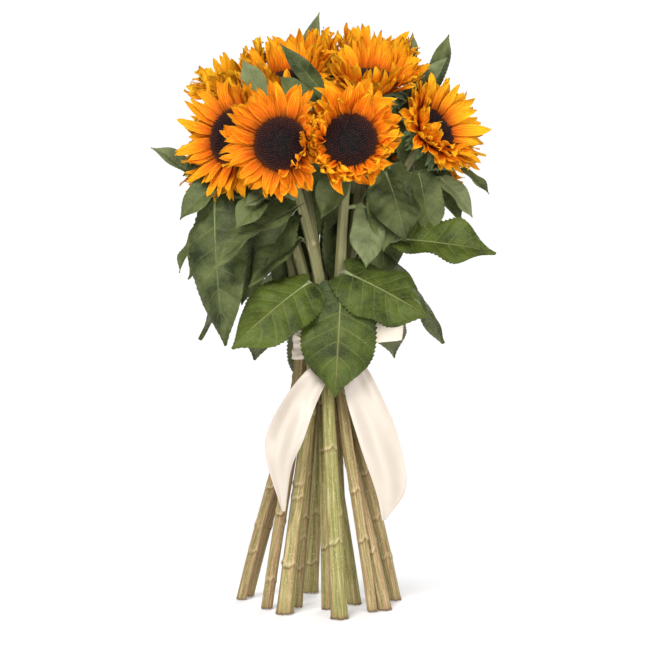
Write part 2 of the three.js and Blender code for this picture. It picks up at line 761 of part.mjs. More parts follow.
function petalRing(flower, petals, angleOf) {
  const shell = new Shell();
  const total = petals.length;
  const root = flower.disc + ROOT_STEP;
  const inner = flower.disc - RING_DEPTH;
  const at = (i, radius, z) => {
    const angle = angleOf(i);
    return shell.point(Math.cos(angle) * radius, Math.sin(angle) * radius, z);
  };
  // A front petal's root bows in on top and a back petal's bows out below, so that a petal
  // that stands up steeply keeps its two faces apart.
  const bowed = root * Math.cos(Math.PI / PETALS_PER_LAYER);
  const crotch = petals.map((_, i) => at(i, root, 0));
  const upper = petals.map((petal, i) => at(i, petal.front ? bowed : root, RING_HALF));
  const lower = petals.map((petal, i) => at(i, petal.front ? root : root + ROOT_BOW, -RING_HALF));
  const innerTop = petals.map((_, i) => (i % 2 === 0 ? at(i, inner, RING_HALF) : null));
  const innerBottom = petals.map((_, i) => (i % 2 === 0 ? at(i, inner, -RING_HALF) : null));
  const wrap = (i) => (i + total) % total;
  petals.forEach((petal, i) => {
    const left = wrap(i - 1);
    const right = wrap(i + 1);
    const shape = petalShape(flower, angleOf(i), petal);
    const levels = shape.slice(0, -1).map((level) => ({
      left: shell.add(level.left),
      right: shell.add(level.right),
      top: shell.add(level.top),
      bottom: shell.add(level.bottom),
    }));
    const tip = shell.add(shape[shape.length - 1].middle);
    const { front } = petal;
    const edge = front ? upper : lower;
    const first = {
      left: edge[left],
      right: edge[right],
      top: front ? upper[i] : crotch[i],
      bottom: front ? crotch[i] : lower[i],
    };
    const rows = [first, ...levels];
    levels.forEach((b, k) => {
      const a = rows[k];
      shell.quad(a.left, b.left, b.top, a.top);
      shell.quad(a.top, b.top, b.right, a.right);
      shell.quad(a.left, a.bottom, b.bottom, b.left);
      shell.quad(a.bottom, a.right, b.right, b.bottom);
    });
    const last = rows[rows.length - 1];
    shell.face(last.left, tip, last.top);
    shell.face(last.top, tip, last.right);
    shell.face(last.left, last.bottom, tip);
    shell.face(last.bottom, last.right, tip);
    if (front) {
      shell.face(edge[left], crotch[left], crotch[i]);
      shell.face(edge[right], crotch[i], crotch[right]);
    } else {
      shell.face(edge[left], crotch[i], crotch[left]);
      shell.face(edge[right], crotch[right], crotch[i]);
    }
  });
  for (let i = 0; i < total; i += 2) {
    const next = wrap(i + 2);
    const between = i + 1;
    shell.face(innerTop[i], upper[i], upper[between]);
    shell.face(innerTop[i], upper[between], innerTop[next]);
    shell.face(innerTop[next], upper[between], upper[next]);
    shell.face(innerBottom[i], lower[between], lower[i]);
    shell.face(innerBottom[i], innerBottom[next], lower[between]);
    shell.face(innerBottom[next], lower[next], lower[between]);
    shell.quad(innerTop[i], innerTop[next], innerBottom[next], innerBottom[i]);
  }
  return shell;
}

function midribOf(leaf) {
  const base = vec(leaf.base);
  const tip = vec(leaf.tip);
  const face = vec(leaf.face).normalize();
  const bend = base.clone().lerp(tip, MIDRIB_BEND).addScaledVector(face, leaf.arch ?? USUAL_ARCH);
  return new THREE.QuadraticBezierCurve3(base, bend, tip);
}

// Half the width of a leaf along its midrib, as a share of half its greatest width.
function bladeProfile(t) {
  return Math.max(0, Math.sin(Math.PI * t ** WIDEST_POWER)) ** FULLNESS_POWER;
}

// A leaf blade: a midrib that arches, two halves that fold, a toothed edge, and lobes that
// reach back past its base.
function blade(leaf, steps, lobeReach) {
  const shell = new Shell();
  const face = vec(leaf.face).normalize();
  const midrib = midribOf(leaf);
  const fold = radians(leaf.fold ?? USUAL_FOLD);
  const rows = [];
  for (let k = 0; k <= steps; k += 1) {
    const t = k / steps;
    const middle = midrib.getPoint(t);
    const along = midrib.getTangent(t);
    const across = new THREE.Vector3().crossVectors(face, along).normalize();
    const normal = new THREE.Vector3().crossVectors(along, across).normalize();
    const tooth = k % 2 === 0 ? TOOTH_SHARE : 1;
    const half = k === 0 || k === steps ? 0 : leaf.width * 0.5 * tooth * bladeProfile(t);
    const lobe = lobeReach * leaf.width * (1 - t) ** LOBE_POWER;
    const edge = (sign) =>
      middle
        .clone()
        .addScaledVector(across, sign * half * Math.cos(fold))
        .addScaledVector(normal, half * Math.sin(fold))
        .addScaledVector(along, -lobe);
    rows.push({ middle, normal, left: edge(-1), right: edge(1), end: half === 0 });
  }
  const put = (row, sign) => {
    const away = (sign * LEAF_THICKNESS) / 2;
    const shift = (p) => shell.add(p.clone().addScaledVector(row.normal, away));
    const middle = shift(row.middle);
    if (row.end) {
      return { left: middle, middle, right: middle };
    }
    return { left: shift(row.left), middle, right: shift(row.right) };
  };
  const top = rows.map((row) => put(row, 1));
  const bottom = rows.map((row) => put(row, -1));
  for (let k = 0; k < steps; k += 1) {
    [
      [top, true],
      [bottom, false],
    ].forEach(([side, flip]) => {
      const a = side[k];
      const b = side[k + 1];
      const tri = (p, q, r) => {
        if (p !== q && q !== r && p !== r) {
          shell.face(...(flip ? [p, r, q] : [p, q, r]));
        }
      };
      tri(a.left, a.middle, b.left);
      tri(a.middle, b.middle, b.left);
      tri(a.middle, a.right, b.right);
      tri(a.middle, b.right, b.middle);
    });
    const [a, b, c, d] = [top[k], top[k + 1], bottom[k], bottom[k + 1]];
    shell.quad(a.left, c.left, d.left, b.left);
    shell.quad(a.right, b.right, d.right, c.right);
  }
  return shell;
}

// The point of a stem's middle line at a height above the tie.
function stemAt(flower, height) {
  const { rise } = stemLine(flower);
  let low = 0;
  let high = 1;
  while (high - low > 0.001) {
    const middle = (low + high) / 2;
    if (rise.getPoint(middle).z < height) {
      low = middle;
    } else {
      high = middle;
    }
  }
  return rise.getPoint(low);
}

// A leaf's stalk: from the middle of its stem to the base of the blade, and a little way in.
function petiole(leaf, radius, sides) {
  const joint = stemAt(FLOWERS[leaf.flower - 1], leaf.joint);
  const base = vec(leaf.base);
  const midrib = midribOf(leaf);
  const { share, rise } = PETIOLE_TURN;
  const turn = joint.clone().lerp(base, share).addScaledVector(UP, joint.distanceTo(base) * rise);
  const stalk = new THREE.QuadraticBezierCurve3(joint, turn, base);
  const points = [0, 0.5].map((t) => ({ at: stalk.getPoint(t), along: stalk.getTangent(t), radius }));
  const taper = PETIOLE_TAPER;
  points.push({ at: base, along: midrib.getTangent(0), radius: radius * taper.base });
  points.push({
    at: midrib.getPoint(taper.reach),
    along: midrib.getTangent(taper.reach),
    radius: radius * taper.end,
  });
  return tube(points, sides);
}

function stemNode(index) {
  const flower = FLOWERS[index];
  const { matrix } = headFrame(flower);
  let solid = tube(stemPoints(flower), STEM_SIDES).solid();
  solid = solid.add(receptacle(flower).moved(matrix).solid());
  UPPER_LEAVES.filter((leaf) => leaf.flower === index + 1).forEach((leaf) => {
    solid = solid.add(petiole(leaf, TWIG_RADIUS, TWIG_SIDES).solid());
    solid = solid.add(blade(leaf, UPPER_STEPS, 0).solid());
  });
  return fromSolid(solid);
}

function collarLeaf(leaf) {
  const stem = tube(stemPoints(FLOWERS[leaf.flower - 1]), STEM_SIDES, CLEARANCE);
  const stalk = petiole(leaf, PETIOLE_RADIUS, PETIOLE_SIDES).solid();
  const whole = stalk.add(blade(leaf, COLLAR_STEPS, LOBE_REACH).solid());
  return fromSolid(whole.subtract(stem.solid()));
}

// The band of ribbon round the tie, a little wider at its edges, where the stems lean out.
function band() {
  const flare = BAND_RADIUS + BAND_FLARE;
  const low = TIE_HEIGHT - BAND_HALF_HEIGHT;
  const high = TIE_HEIGHT + BAND_HALF_HEIGHT;
  const profile = [
    new THREE.Vector2(flare, low),
    new THREE.Vector2(flare + RIBBON_THICKNESS, low),
    new THREE.Vector2(BAND_RADIUS + RIBBON_THICKNESS, TIE_HEIGHT),
    new THREE.Vector2(flare + RIBBON_THICKNESS, high),
    new THREE.Vector2(flare, high),
    new THREE.Vector2(BAND_RADIUS, TIE_HEIGHT),
    new THREE.Vector2(flare, low),
  ];
  const geometry = new THREE.LatheGeometry(profile, BAND_SIDES);
  geometry.rotateX(Math.PI / 2);
  return geometry;
}

// The knot and the two bow loops, swept as one soft body along the bow.
function bow() {
  const shell = new Shell();
  let previous = null;
  BOW.forEach(({ at, high, deep }) => {
    const ring = [];
    for (let i = 0; i < BOW_SIDES; i += 1) {
      const angle = (2 * Math.PI * i) / BOW_SIDES;
      ring.push(shell.point(at[0], at[1] + Math.cos(angle) * deep, at[2] + Math.sin(angle) * high));
    }
    if (previous === null) {
      shell.fan(shell.point(...at), [...ring].reverse());
    } else {
      shell.strip(previous, ring);
    }
    previous = ring;
  });
  shell.fan(shell.point(...BOW[BOW.length - 1].at), previous);
  return shell;
}

// A tail of the ribbon: a thin strip between its left and right edges.
function tail(rows) {
  const shell = new Shell();
  const back = [];
  const front = [];
  rows.forEach(({ left, right, y }, k) => {
    const lift = RIBBON_THICKNESS * 0.5;
    const bulge = k === 0 || k === rows.length - 1 ? 0 : TAIL_BULGE;
    const middle = [(left[0] + right[0]) / 2, (left[1] + right[1]) / 2];
    const row = (side) => [
      shell.point(left[0], y + side * lift, left[1]),
      shell.point(middle[0], y - bulge + side * lift, middle[1]),
      shell.point(right[0], y + side * lift, right[1]),
    ];
    front.push(row(-1));
    back.push(row(1));
  });
  for (let k = 0; k + 1 < rows.length; k += 1) {
    for (let i = 0; i < 2; i += 1) {
      shell.quad(front[k][i], front[k + 1][i], front[k + 1][i + 1], front[k][i + 1]);
      shell.quad(back[k][i], back[k][i + 1], back[k + 1][i + 1], back[k + 1][i]);
    }
    shell.quad(front[k][0], back[k][0], back[k + 1][0], front[k + 1][0]);
    shell.quad(front[k][2], front[k + 1][2], back[k + 1][2], back[k][2]);
  }
  [[0, 1], [1, 2]].forEach(([i, j]) => {
    const last = rows.length - 1;
    shell.quad(front[0][i], front[0][j], back[0][j], back[0][i]);
    shell.quad(front[last][i], back[last][i], back[last][j], front[last][j]);
  });
  return shell;
}

function material({ color, roughness, metalness }) {
  return new THREE.MeshStandardMaterial({ color, roughness, metalness });
}

function named(name, geometry, look) {
  const mesh = new THREE.Mesh(geometry, material(look));
  mesh.name = name;
  return mesh;
}

const bunch = new THREE.Group();
const label = (index) => String(index + 1).padStart(2, '0');

FLOWERS.forEach((flower, index) => {
  bunch.add(named(`stem_${label(index)}`, stemNode(index), STEM_GREEN));
  const head = new THREE.Group();
  head.applyMatrix4(headFrame(flower).matrix);
  head.add(named(`rays_${label(index)}`, rays(index).geometry(), PETAL_ORANGE));
  head.add(named(`disc_${label(index)}`, disc(flower).geometry(), DISC_BROWN));
  bunch.add(head);
});

COLLAR.forEach((leaf, index) => {
  bunch.add(named(`leaf_${label(index)}`, collarLeaf(leaf), LEAF_GREEN));
});

bunch.add(named('ribbon_band', band(), RIBBON_CREAM));
bunch.add(named('ribbon_bow', bow().geometry(), RIBBON_CREAM));
bunch.add(named('ribbon_tail_left', tail(LEFT_TAIL).geometry(), RIBBON_CREAM));
bunch.add(named('ribbon_tail_right', tail(RIGHT_TAIL).geometry(), RIBBON_CREAM));

// The origin is put on the floor under the middle of the bunch.
const centre = new THREE.Box3().setFromObject(bunch, true).getCenter(new THREE.Vector3());
bunch.position.set(-centre.x, -centre.y, 0);

export default bunch;
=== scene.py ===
"""The looks of a hand-tied bunch of sunflowers that stands on its cut stems."""

# Lengths are millimetres from the tie's axis, +Z up, and the front faces -Y.

import math
from collections import namedtuple
from functools import partialmethod
from types import SimpleNamespace

import bpy
import numpy as np
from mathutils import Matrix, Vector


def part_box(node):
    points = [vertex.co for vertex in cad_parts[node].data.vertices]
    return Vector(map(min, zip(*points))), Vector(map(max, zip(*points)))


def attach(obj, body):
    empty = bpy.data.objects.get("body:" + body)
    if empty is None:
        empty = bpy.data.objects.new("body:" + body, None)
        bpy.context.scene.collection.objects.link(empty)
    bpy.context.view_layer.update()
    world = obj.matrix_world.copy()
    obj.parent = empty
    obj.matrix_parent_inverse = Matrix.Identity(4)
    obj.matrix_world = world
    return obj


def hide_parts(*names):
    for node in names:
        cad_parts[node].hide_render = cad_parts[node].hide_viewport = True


MM = 0.001
UP = np.array([0.0, 0.0, 1.0])
GOLDEN_ANGLE = math.pi * (3 - math.sqrt(5))
QUARTER_TURN = math.pi / 2

# The tie and the stems. Their middle lines and radii are those of the solids.
TIE_HEIGHT = 262
OUTER_RING = 21.8
INNER_RING = 8.6
BAND_RADIUS = 28.15
BAND_HALF_HEIGHT = 15
BAND_FLARE = 2
WAIST_RADIUS = 5.65
NECK_RADIUS = 4.6
LEG_STRAIGHT = 0.45
HANDLE_UNDER_TIE = 60
HANDLE_OVER_TIE = 70
NECK_REACH = 46
NECK_SAG = 0.5
RECEPTACLE_DEPTH = 17
NECK_SEAT = 4

LEG_ROWS = 150
RISE_ROWS = 60
STALK_SIDES = 36
STEM_SEED = 1300
# Sharp ridges round a stem: half the count of each kind, and its height.
STEM_RIDGES = [(2.5, 0.6), (4, 0.4), (1.5, 0.3)]
RIDGE_SHARE = 0.07
SCAR_SWELL = 0.16
CUT_FLARE = 0.05
GRAIN_STRETCH = 0.035
# Above the tie the stems turn from tan to a younger green, row by row, and darker towards the heads, a
# painted shade under the leaves and heads.
YOUNG_SHADE_TOP = -0.6
YOUNG_SHADE_STEP = 0.08
# Ragged leaf scars that show at the front: the stem, and their heights and sides in degrees.
SCARS = {
    1: [(47, 265), (112, 250)], 2: [(71, 262), (160, 285)], 3: [(118, 262), (70, 285)],
    5: [(88, 240)], 6: [(58, 250), (140, 270)], 7: [(62, 275)], 8: [(52, 270), (118, 280)],
    9: [(40, 255), (90, 280)], 12: [(36, 270)], 14: [(95, 255), (30, 280)],
}

# Rows of bracts under a head: how many, where they grow, their length and their lift.
BRACT_ROWS = [(15, 0.97, -3.2, 17, 4), (14, 0.9, -6.5, 19, -12), (12, 0.78, -9.6, 20, -26)]
BRACT_HALF_WIDTH = 4.4

# The petals. Each layer has a count, the lift of its roots in degrees and their height.
PETAL_LAYERS = [(22, -6, -1.4), (21, 3, -0.8), (19, 12, -0.1), (17, 21, 0.5), (14, 31, 1.0)]
# Each petal draws its form from these spans, in this order, in degrees, shares and radians.
PETAL_SPANS = dict(
    lift=(-9, 11), curl=(-18, 18), tip_curl=(-50, 60), length=(0.78, 1.13), width=(0.72, 1.15),
    twist=(-0.8, 0.8), sway=(-0.16, 0.16), cup=(0.15, 0.6), crumple=(0.5, 2.0), phase=(0, 6),
    shade=(0, 1), tone=(-0.2, 0.2),
)
PETAL_SEED = 500
PETAL_ROWS = 13
PETAL_COLUMNS = 9
PETAL_WIDTH = 10.6
PETAL_ROOT = -1.5
PETAL_PROFILE = ([0, 0.15, 0.35, 0.6, 0.8, 0.92, 1], [0.5, 0.78, 1, 0.93, 0.66, 0.34, 0.03])
PETAL_RIDGES = 0.5
TIP_START = 0.6
LEAST_LIFT = -14
MAX_LIFT = 84
MAX_FOLDED_LIFT = 104
# A petal lies at least this many degrees above the two behind it.
LAYER_STEP = 5
# Petals stay this far from the plane halfway to the next head. Below zero they reach past it.
HEAD_GAP = -5
# A petal that finds no room comes back to this lift and length.
SQUEEZED_LIFT = 45
SQUEEZED_LENGTH = 9
# The search for room: its steps, what changes cost, and how near a leaf has to be to matter.
# A petal or a leaf counts as this share of its width to each side.
LIFT_SEARCH = 4.0
LENGTH_SHARES = np.arange(1, 0.28, -0.08)
DEGREES_PER_COST = 30
LENGTH_COST = 2.2
NEARBY = 30
ROOM_WIDTH = 0.42
# Heads that face up show the backs of their near petals, which rise and are shorter.
UPRIGHT_HEAD = 40
UPRIGHT_EXTRA_LIFT = 8
NEAR_SIDE_LIFT = 50
NEAR_SIDE_CUT = 0.16
# The crumpled head keeps long petals on one side. The folded head is short and crumpled on
# one side, and a funnel on the other, whose inner layers start further in.
LONG_SIDE = 95
FOLDED_SIDE = 205
FUNNEL_INSET = 11

# The discs. Each level of a floret has its share of the height and its radius.
FLORETS = 460
FLORET_SEED = 900
FLORET_SIDES = 5
FLORET_LEVELS = [(-0.8, 1.25), (0.55, 1.05), (0.9, 0.7)]
FLORET_TIPS = [0, 0.4, 1]
DISC_RIM = 3.0
DISC_CROWN = 6.0

# The leaves
LEAF_THICKNESS = 0.6
LEAF_MARGIN = 2.5
SMALL_LEAF_ARCH = 4
SMALL_LEAF_FOLD = 26
SMALL_LEAF_LOBE = 0.08
SMALL_STALK = 1.5
SIDE_VEINS = 7
VEIN_SLANT = 0.3
TEETH_DEPTH = 0.05
TEETH_LEAN = 0.012
# How far a blade leaves its plane, as shares of its width.
PUCKER = 0.07
WAVE = 0.075
DROOP = 0.04
SWELL = 0.035
LEAF_PROFILE = (
    [0, 0.03, 0.08, 0.16, 0.28, 0.40, 0.52, 0.62, 0.71, 0.79, 0.86, 0.93, 1],
    [0, 0.34, 0.58, 0.78, 0.92, 0.99, 1.00, 0.95, 0.82, 0.60, 0.36, 0.14, 0],
)
LOBE_REACH = 0.27
LOBE_POWER = 3

Flower = namedtuple(
    "Flower",
    "head turn lift disc petal foot cut slot tan tone style short ring",
    defaults=["plain", (), OUTER_RING],
)
Leaf = namedtuple(
    "Leaf",
    "flower joint base tip face width arch fold",
    defaults=[SMALL_LEAF_ARCH, SMALL_LEAF_FOLD],
)

# Every flower: head, turn and lift in degrees, disc radius, petal length, cut end on the floor,
# that end's radius, place in the tie in degrees, how tan its stem is, how red its petals are
# (below zero they are yellow), their style, a side where they are shorter, and the tie's ring.
FLOWERS = [
    Flower((-86, -38, 464), -38, 5, 27.5, 36, (-37, -46), 8.6, 244, 0.45, 0.35),
    Flower((-39, -85, 452), -8, 3, 25.5, 34, (16, -72), 8.4, 280, 0.2, 1.0, short=(285, 0.2)),
    Flower((26, -80, 455), 3, 5, 26.5, 34, (49, -35), 4.8, 316, 0.8, 0.5, style="crumpled"),
    Flower((112, -12, 474), 42, 22, 25, 36, (57, 62), 5.5, 28, 0.6, -0.4, style="folded"),
    Flower((48, -10, 520), 5, 55, 26, 35, (74, 32), 6.2, 352, 0.85, 0.15),
    Flower((51, 56, 548), 12, 58, 26, 34, (61, -25), 7, 0, 0.9, 0.0, ring=INNER_RING),
    Flower((-35, -10, 519), -18, 55, 25, 36, (4, -21.5), 4.8, 275, 0.3, 0.3, ring=INNER_RING),
    Flower((-87, 43, 524), -55, 55, 26, 36, (-83, 36), 5, 172, 0.9, -0.6),
    Flower((-17, 48, 545), -20, 62, 25, 31, (-25, -11), 4.8, 190, 0.5, 0.1, ring=INNER_RING),
    Flower((13, 92, 522), 175, 55, 25, 36, (32, 7), 7, 106, 0.3, 0.3, ring=INNER_RING),
    Flower((106, 64, 468), 112, 18, 26, 36, (22, 45), 5.5, 59, 0.5, 0.2),
    Flower((48, 102, 460), 155, 12, 25.5, 36, (-12, 78), 8, 90, 0.2, 0.5),
    Flower((-38, 104, 466), 195, 12, 26, 36, (-76, 56), 4.6, 136, 0.9, 0.3),
    Flower((-101, 56, 456), 245, 14, 25, 36, (-55, -18), 5.4, 208, 0.95, 0.2),
]

# Large leaves of the collar: the flower whose stem carries it, the height of its joint there,
# the blade's base and tip, the way its upper face looks, its width, its arch and its fold.
COLLAR = [
    (2, 300, (-13, -46, 322), (-87, -78, 259), (-2, -8, 5), 70, 8, -14),
    (3, 306, (18, -50.5, 313), (12, -70, 211), (0, -10, 2), 76, 10, -8),
    (3, 330, (24, -44, 331), (101, -66, 289), (2, -8, 5), 74, 7, -12),
    (5, 350, (79, -18, 365), (171, -28, 352), (10, -75, 62), 58, 6, 16),
    (5, 425, (62, -26, 430), (82, -42, 362), (3, -9, 3), 54, 8, -8),
    (1, 380, (-26, -50, 394), (-105, -80, 335), (-3, -5, 8), 50, 8, 22),
    (1, 400, (-106, -26, 405), (-95, -52, 260), (-4, -9, 1), 62, 12, -10),
    (3, 395, (45, -32, 396), (43, -42, 336), (3, -9, 1), 36, 5, -6),
    (4, 345, (66, 30, 352), (126, 44, 262), (85, 20, 45), 62, 10, -10),
    (11, 330, (44, 58, 338), (78, 112, 246), (45, 75, 40), 66, 10, -12),
    (12, 345, (4, 66, 350), (10, 122, 262), (0, 85, 50), 68, 10, -10),
    (13, 325, (-42, 56, 333), (-74, 108, 244), (-40, 75, 45), 66, 10, -12),
    (14, 345, (-66, 24, 352), (-128, 44, 266), (-85, 20, 45), 64, 10, -10),
    (12, 300, (-6, 44, 296), (-10, 74, 206), (0, 95, 25), 60, 8, -8),
]

# Small upper leaves, with the same columns as far as the width.
UPPER_LEAVES = [
    (1, 428, (-107, -4, 415), (-140, -20, 397), (-3, -3, 9), 26),
    (14, 420, (-130, 18, 432), (-172, 5, 459), (-2, -7, 7), 24),
    (14, 395, (-118, 12, 382), (-144, 2, 333), (-9, -4, 2), 28),
    (2, 405, (-44, -62, 404), (-76, -74, 394), (-1, -6, 8), 24),
    (7, 350, (-22, -32, 366), (-72, -48, 318), (-3, -7, 6), 38),
    (9, 480, (-28, 86, 532), (-3, 88, 611), (1, -10, 1), 22),
    (5, 455, (8, -32, 500), (-42, -38, 556), (-1, -10, 1), 21),
    (7, 460, (-54, -46, 486), (-78, -38, 541), (0, -10, 2), 28),
    (2, 425, (-8, -48, 486), (-42, -44, 523), (1, -10, 3), 26),
    (6, 505, (88, 78, 540), (95, 80, 588), (3, -10, 1), 16),
    (4, 440, (108, 30, 515), (129, 28, 577), (1, -10, 1), 22),
    (5, 470, (84, 6, 505), (126, 8, 550), (-2, -10, 2), 20),
    (4, 430, (136, 2, 436), (166, -10, 411), (6, -6, 4), 18),
    (4, 415, (118, 2, 428), (150, -4, 388), (4, -8, 4), 26),
    (11, 405, (86, 14, 421), (110, 2, 394), (3, -8, 4), 24),
    (12, 410, (56, 84, 406), (78, 118, 372), (4, 7, 5), 32),
    (13, 410, (-44, 86, 408), (-62, 120, 370), (-3, 8, 5), 32),
    (10, 470, (54, 86, 524), (66, 104, 574), (4, 9, 2), 22),
]

# The dark leaves behind and between the stems, with the same columns.
INNER_LEAVES = [
    (7, 360, (-28, -26, 396), (-60, -34, 326), (-3, -9, 2), 46),
    (1, 352, (-60, -20, 376), (-80, -26, 300), (-3, -9, 1), 46),
    (14, 372, (-84, -8, 404), (-134, -14, 326), (-5, -8, 2), 42),
    (14, 392, (-96, -20, 428), (-140, -34, 384), (-3, -8, 4), 34),
    (2, 398, (-46, -58, 410), (-84, -72, 372), (-2, -8, 5), 34),
    (7, 330, (-24, 24, 404), (-32, 15, 290), (-1, -10, -1), 56),
    (6, 330, (22, 26, 412), (24, 15, 298), (1, -10, -1), 56),
    (9, 380, (-52, 18, 424), (-74, 26, 318), (-2, -10, 1), 58),
    (5, 380, (54, 18, 418), (64, 26, 322), (2, -10, 1), 56),
    (9, 400, (2, 12, 452), (0, 12, 366), (0, -10, 0), 54),
    (5, 400, (66, -20, 440), (60, -30, 352), (2, -9, 1), 52),
    (3, 402, (20, -40, 432), (-2, -42, 384), (-1, -9, 2), 34),
    (4, 405, (96, -2, 432), (108, -12, 366), (3, -9, 2), 40),
    (11, 410, (104, 22, 440), (140, 14, 384), (4, -8, 3), 36),
    (8, 430, (-92, 10, 468), (-140, 0, 430), (-4, -8, 4), 30),
    (5, 420, (92, 12, 434), (84, 15, 530), (1, -10, 1), 44),
    (1, 385, (-70, -14, 430), (-96, -18, 372), (-3, -9, 1), 38),
]

# Each kind of leaf: its rows, the points along and across a blade, the seed of its draws, the
# radius of its stalk and the reach of its lobes.
LEAF_KINDS = [
    ("blade", COLLAR, (57, 25), 1700, 2.1, LOBE_REACH),
    ("small_leaf", UPPER_LEAVES, (35, 15), 2100, SMALL_STALK, SMALL_LEAF_LOBE),
    ("inner_leaf", INNER_LEAVES, (39, 17), 2500, 1.6, LOBE_REACH / 2),
]

# Where one head hangs in front of its neighbour, the plane between them leans: the front head
# and the one behind, counted from zero, the way of the lean and how much of it.
OVERLAPS = [(1, 0, (0, -1, 0), 0.9), (2, 1, (0, -1, 0), 0.5)]

# The bow's loops from the knot to their ends: x, z, half the ribbon's height, and y on the way
# out and on the way back.
RIGHT_LOOP = [
    (16, 264, 8, -41, -30), (30, 269, 11, -44, -31), (52, 278, 15, -47, -33),
    (71, 282, 17, -47, -36), (78, 283, 17, -42, -42),
]
LEFT_LOOP = [
    (14, 264, 8, -41, -30), (2, 270, 10, -43, -31), (-20, 281, 13, -44, -32),
    (-36, 287, 14, -44, -34), (-43, 288, 14, -39, -39),
]
# The knot: its left and right end, the middle of it, and its radii to the front and up.
KNOT_LEFT = 8
KNOT_RIGHT = 21
KNOT_Y = -35.2
KNOT_Z = 263
KNOT_DEEP = 8.6
KNOT_HIGH = 11.5
# Detail that paints the satin of the band and the bow lighter, a painted light against the shade it lies in
# at the tie.
PAINTED_LIGHT_AT_TIE = (1, 0, 0)

# The tails: how far forward each row lies, and its left and right edge points (x, z).
TAIL_ROWS = 61
LEFT_TAIL = [
    (-37, (3, 252), (17, 252)),
    (-46, (-16, 236), (6, 230)),
    (-50, (-36, 211), (-7, 202)),
    (-55, (-53, 178), (-19, 168)),
    (-58, (-54, 150), (-30, 142)),
    (-59, (-39, 101), (-36, 101)),
]
RIGHT_TAIL = [
    (-34.4, (13, 251.6), (26, 251.6)),
    (-44, (19, 232), (43, 239)),
    (-46, (24, 205), (60, 206)),
    (-48, (37, 162), (74, 170)),
    (-48, (52, 118), (81, 124)),
    (-48, (58, 91), (61, 91)),
]

# The studio, in metres, but for the lens and its sensor in millimetres
CAMERA_DISTANCE = 1.626
CAMERA_HEIGHT = 0.283
CAMERA_LENS = 90.75
CAMERA_SENSOR = 36
FLOOR_REACH = 9.0
FLOOR_LEVEL = -0.0004
# The floor turns from shaded paper to plain white between these distances from the middle.
SHADOW_START = 0.10
SHADOW_END = 0.22
FLOOR_GLOW = 0.2
WORLD_LIGHT = 0.34
WORLD_SEEN = 1.05
LAMP_TARGET = np.array([0, 0, 0.36])
LAMPS = [
    dict(name="key", at=(-0.8, -2.1, 1.9), size=1.1, power=73),
    dict(name="fill", at=(0.9, -2.3, 0.5), size=1.4, power=42),
    dict(name="back", at=(0.6, 2.0, 1.7), size=1.2, power=40),
]


def unit(vector):
    vector = np.asarray(vector, float)
    return vector / np.maximum(np.linalg.norm(vector, axis=-1, keepdims=True), 1e-9)


def full_turn(count):
    return np.linspace(0, 2 * np.pi, count, endpoint=False)


def spread(*values):
    """Puts numbers or arrays together as the parts of points, in one shape."""
    return np.stack(np.broadcast_arrays(*values), axis=-1)


def polar(radius, angle, height):
    return spread(radius * np.cos(angle), radius * np.sin(angle), height)


def running_sum(steps):
    return np.concatenate([[0], np.cumsum(steps)])


def bezier(points, t):
    """The points of a Bezier curve at each value of t."""
    t = np.atleast_1d(t)[:, None]
    points = [np.asarray(p, float) for p in points]
    while len(points) > 1:
        points = [a + (b - a) * t for a, b in zip(points, points[1:])]
    return points[0]


def smooth_rows(rows, count):
    """A smooth curve through rows of numbers, as count rows."""
    rows = np.asarray(rows, float)
    padded = np.vstack([2 * rows[0] - rows[1], rows, 2 * rows[-1] - rows[-2]])
    at = np.linspace(0, len(rows) - 1, count)
    i = np.minimum(at.astype(int), len(rows) - 2)
    t = (at - i)[:, None]
    a, b, c, d = (padded[i + k] for k in range(4))
    return 0.5 * (2 * b + (c - a) * t + (2 * a - 5 * b + 4 * c - d) * t**2 + (3 * b - a - 3 * c + d) * t**3)


class Body:
    """Collects sheets of points and their faces.

    Each point carries three numbers of detail and its place in the grain of the surface.
    """

    def __init__(self):
        self.points, self.detail, self.grain = [], [], []
        self.faces, self.slots = [], []
        self.count = 0

    def add_points(self, points, detail, grain=(0, 0, 0)):
        for store, values in ((self.points, points), (self.detail, detail), (self.grain, grain)):
            store.append(np.broadcast_to(values, points.shape).reshape(-1, 3))
        start = self.count
        self.count += points.size // 3
        return np.arange(start, self.count)

    def add_faces(self, faces, slot=0, flip=False):
        self.faces += (faces[:, ::-1] if flip else faces).tolist()
        self.slots += [slot] * len(faces)

    def grid(self, points, detail=(0, 0, 0), slot=0, wrap=False, flip=False, grain=(0, 0, 0)):
        """Joins rows of points with faces. Where they wrap, each row is a closed ring."""
        index = self.add_points(points, detail, grain).reshape(points.shape[:2])
        left = index if wrap else index[:, :-1]
        right = np.roll(index, -1, axis=1) if wrap else index[:, 1:]
        quads = np.stack([left[:-1], right[:-1], right[1:], left[1:]], axis=-1)
        self.add_faces(quads.reshape(-1, 4), slot, flip)
        return index

    def close_end(self, ring, middle, detail):
        """Closes the ring at the lower end of a tube with one more point in its middle."""
        tip = np.broadcast_to(self.add_points(middle, detail), ring.shape)
        self.add_faces(np.stack([ring, np.roll(ring, -1), tip], axis=-1), flip=True)

    def spikes(self, rings, tips, detail, tip_detail):
        """Many small pointed bodies: rings has shape (count, levels, sides, 3)."""
        index = self.add_points(rings, detail).reshape(rings.shape[:3])
        turned = np.roll(index, -1, axis=2)
        quads = np.stack([index[:, :-1], turned[:, :-1], turned[:, 1:], index[:, 1:]], axis=-1)
        self.add_faces(quads.reshape(-1, 4))
        top = index[:, -1]
        ends = np.broadcast_to(self.add_points(tips, tip_detail)[:, None], top.shape)
        self.add_faces(np.stack([top, turned[:, -1], ends], axis=-1).reshape(-1, 3))


def new_object(name, data):
    thing = bpy.data.objects.new(name, data)
    bpy.context.scene.collection.objects.link(thing)
    return thing


def numbered(name, index):
    return f"{name}_{index + 1:02d}"


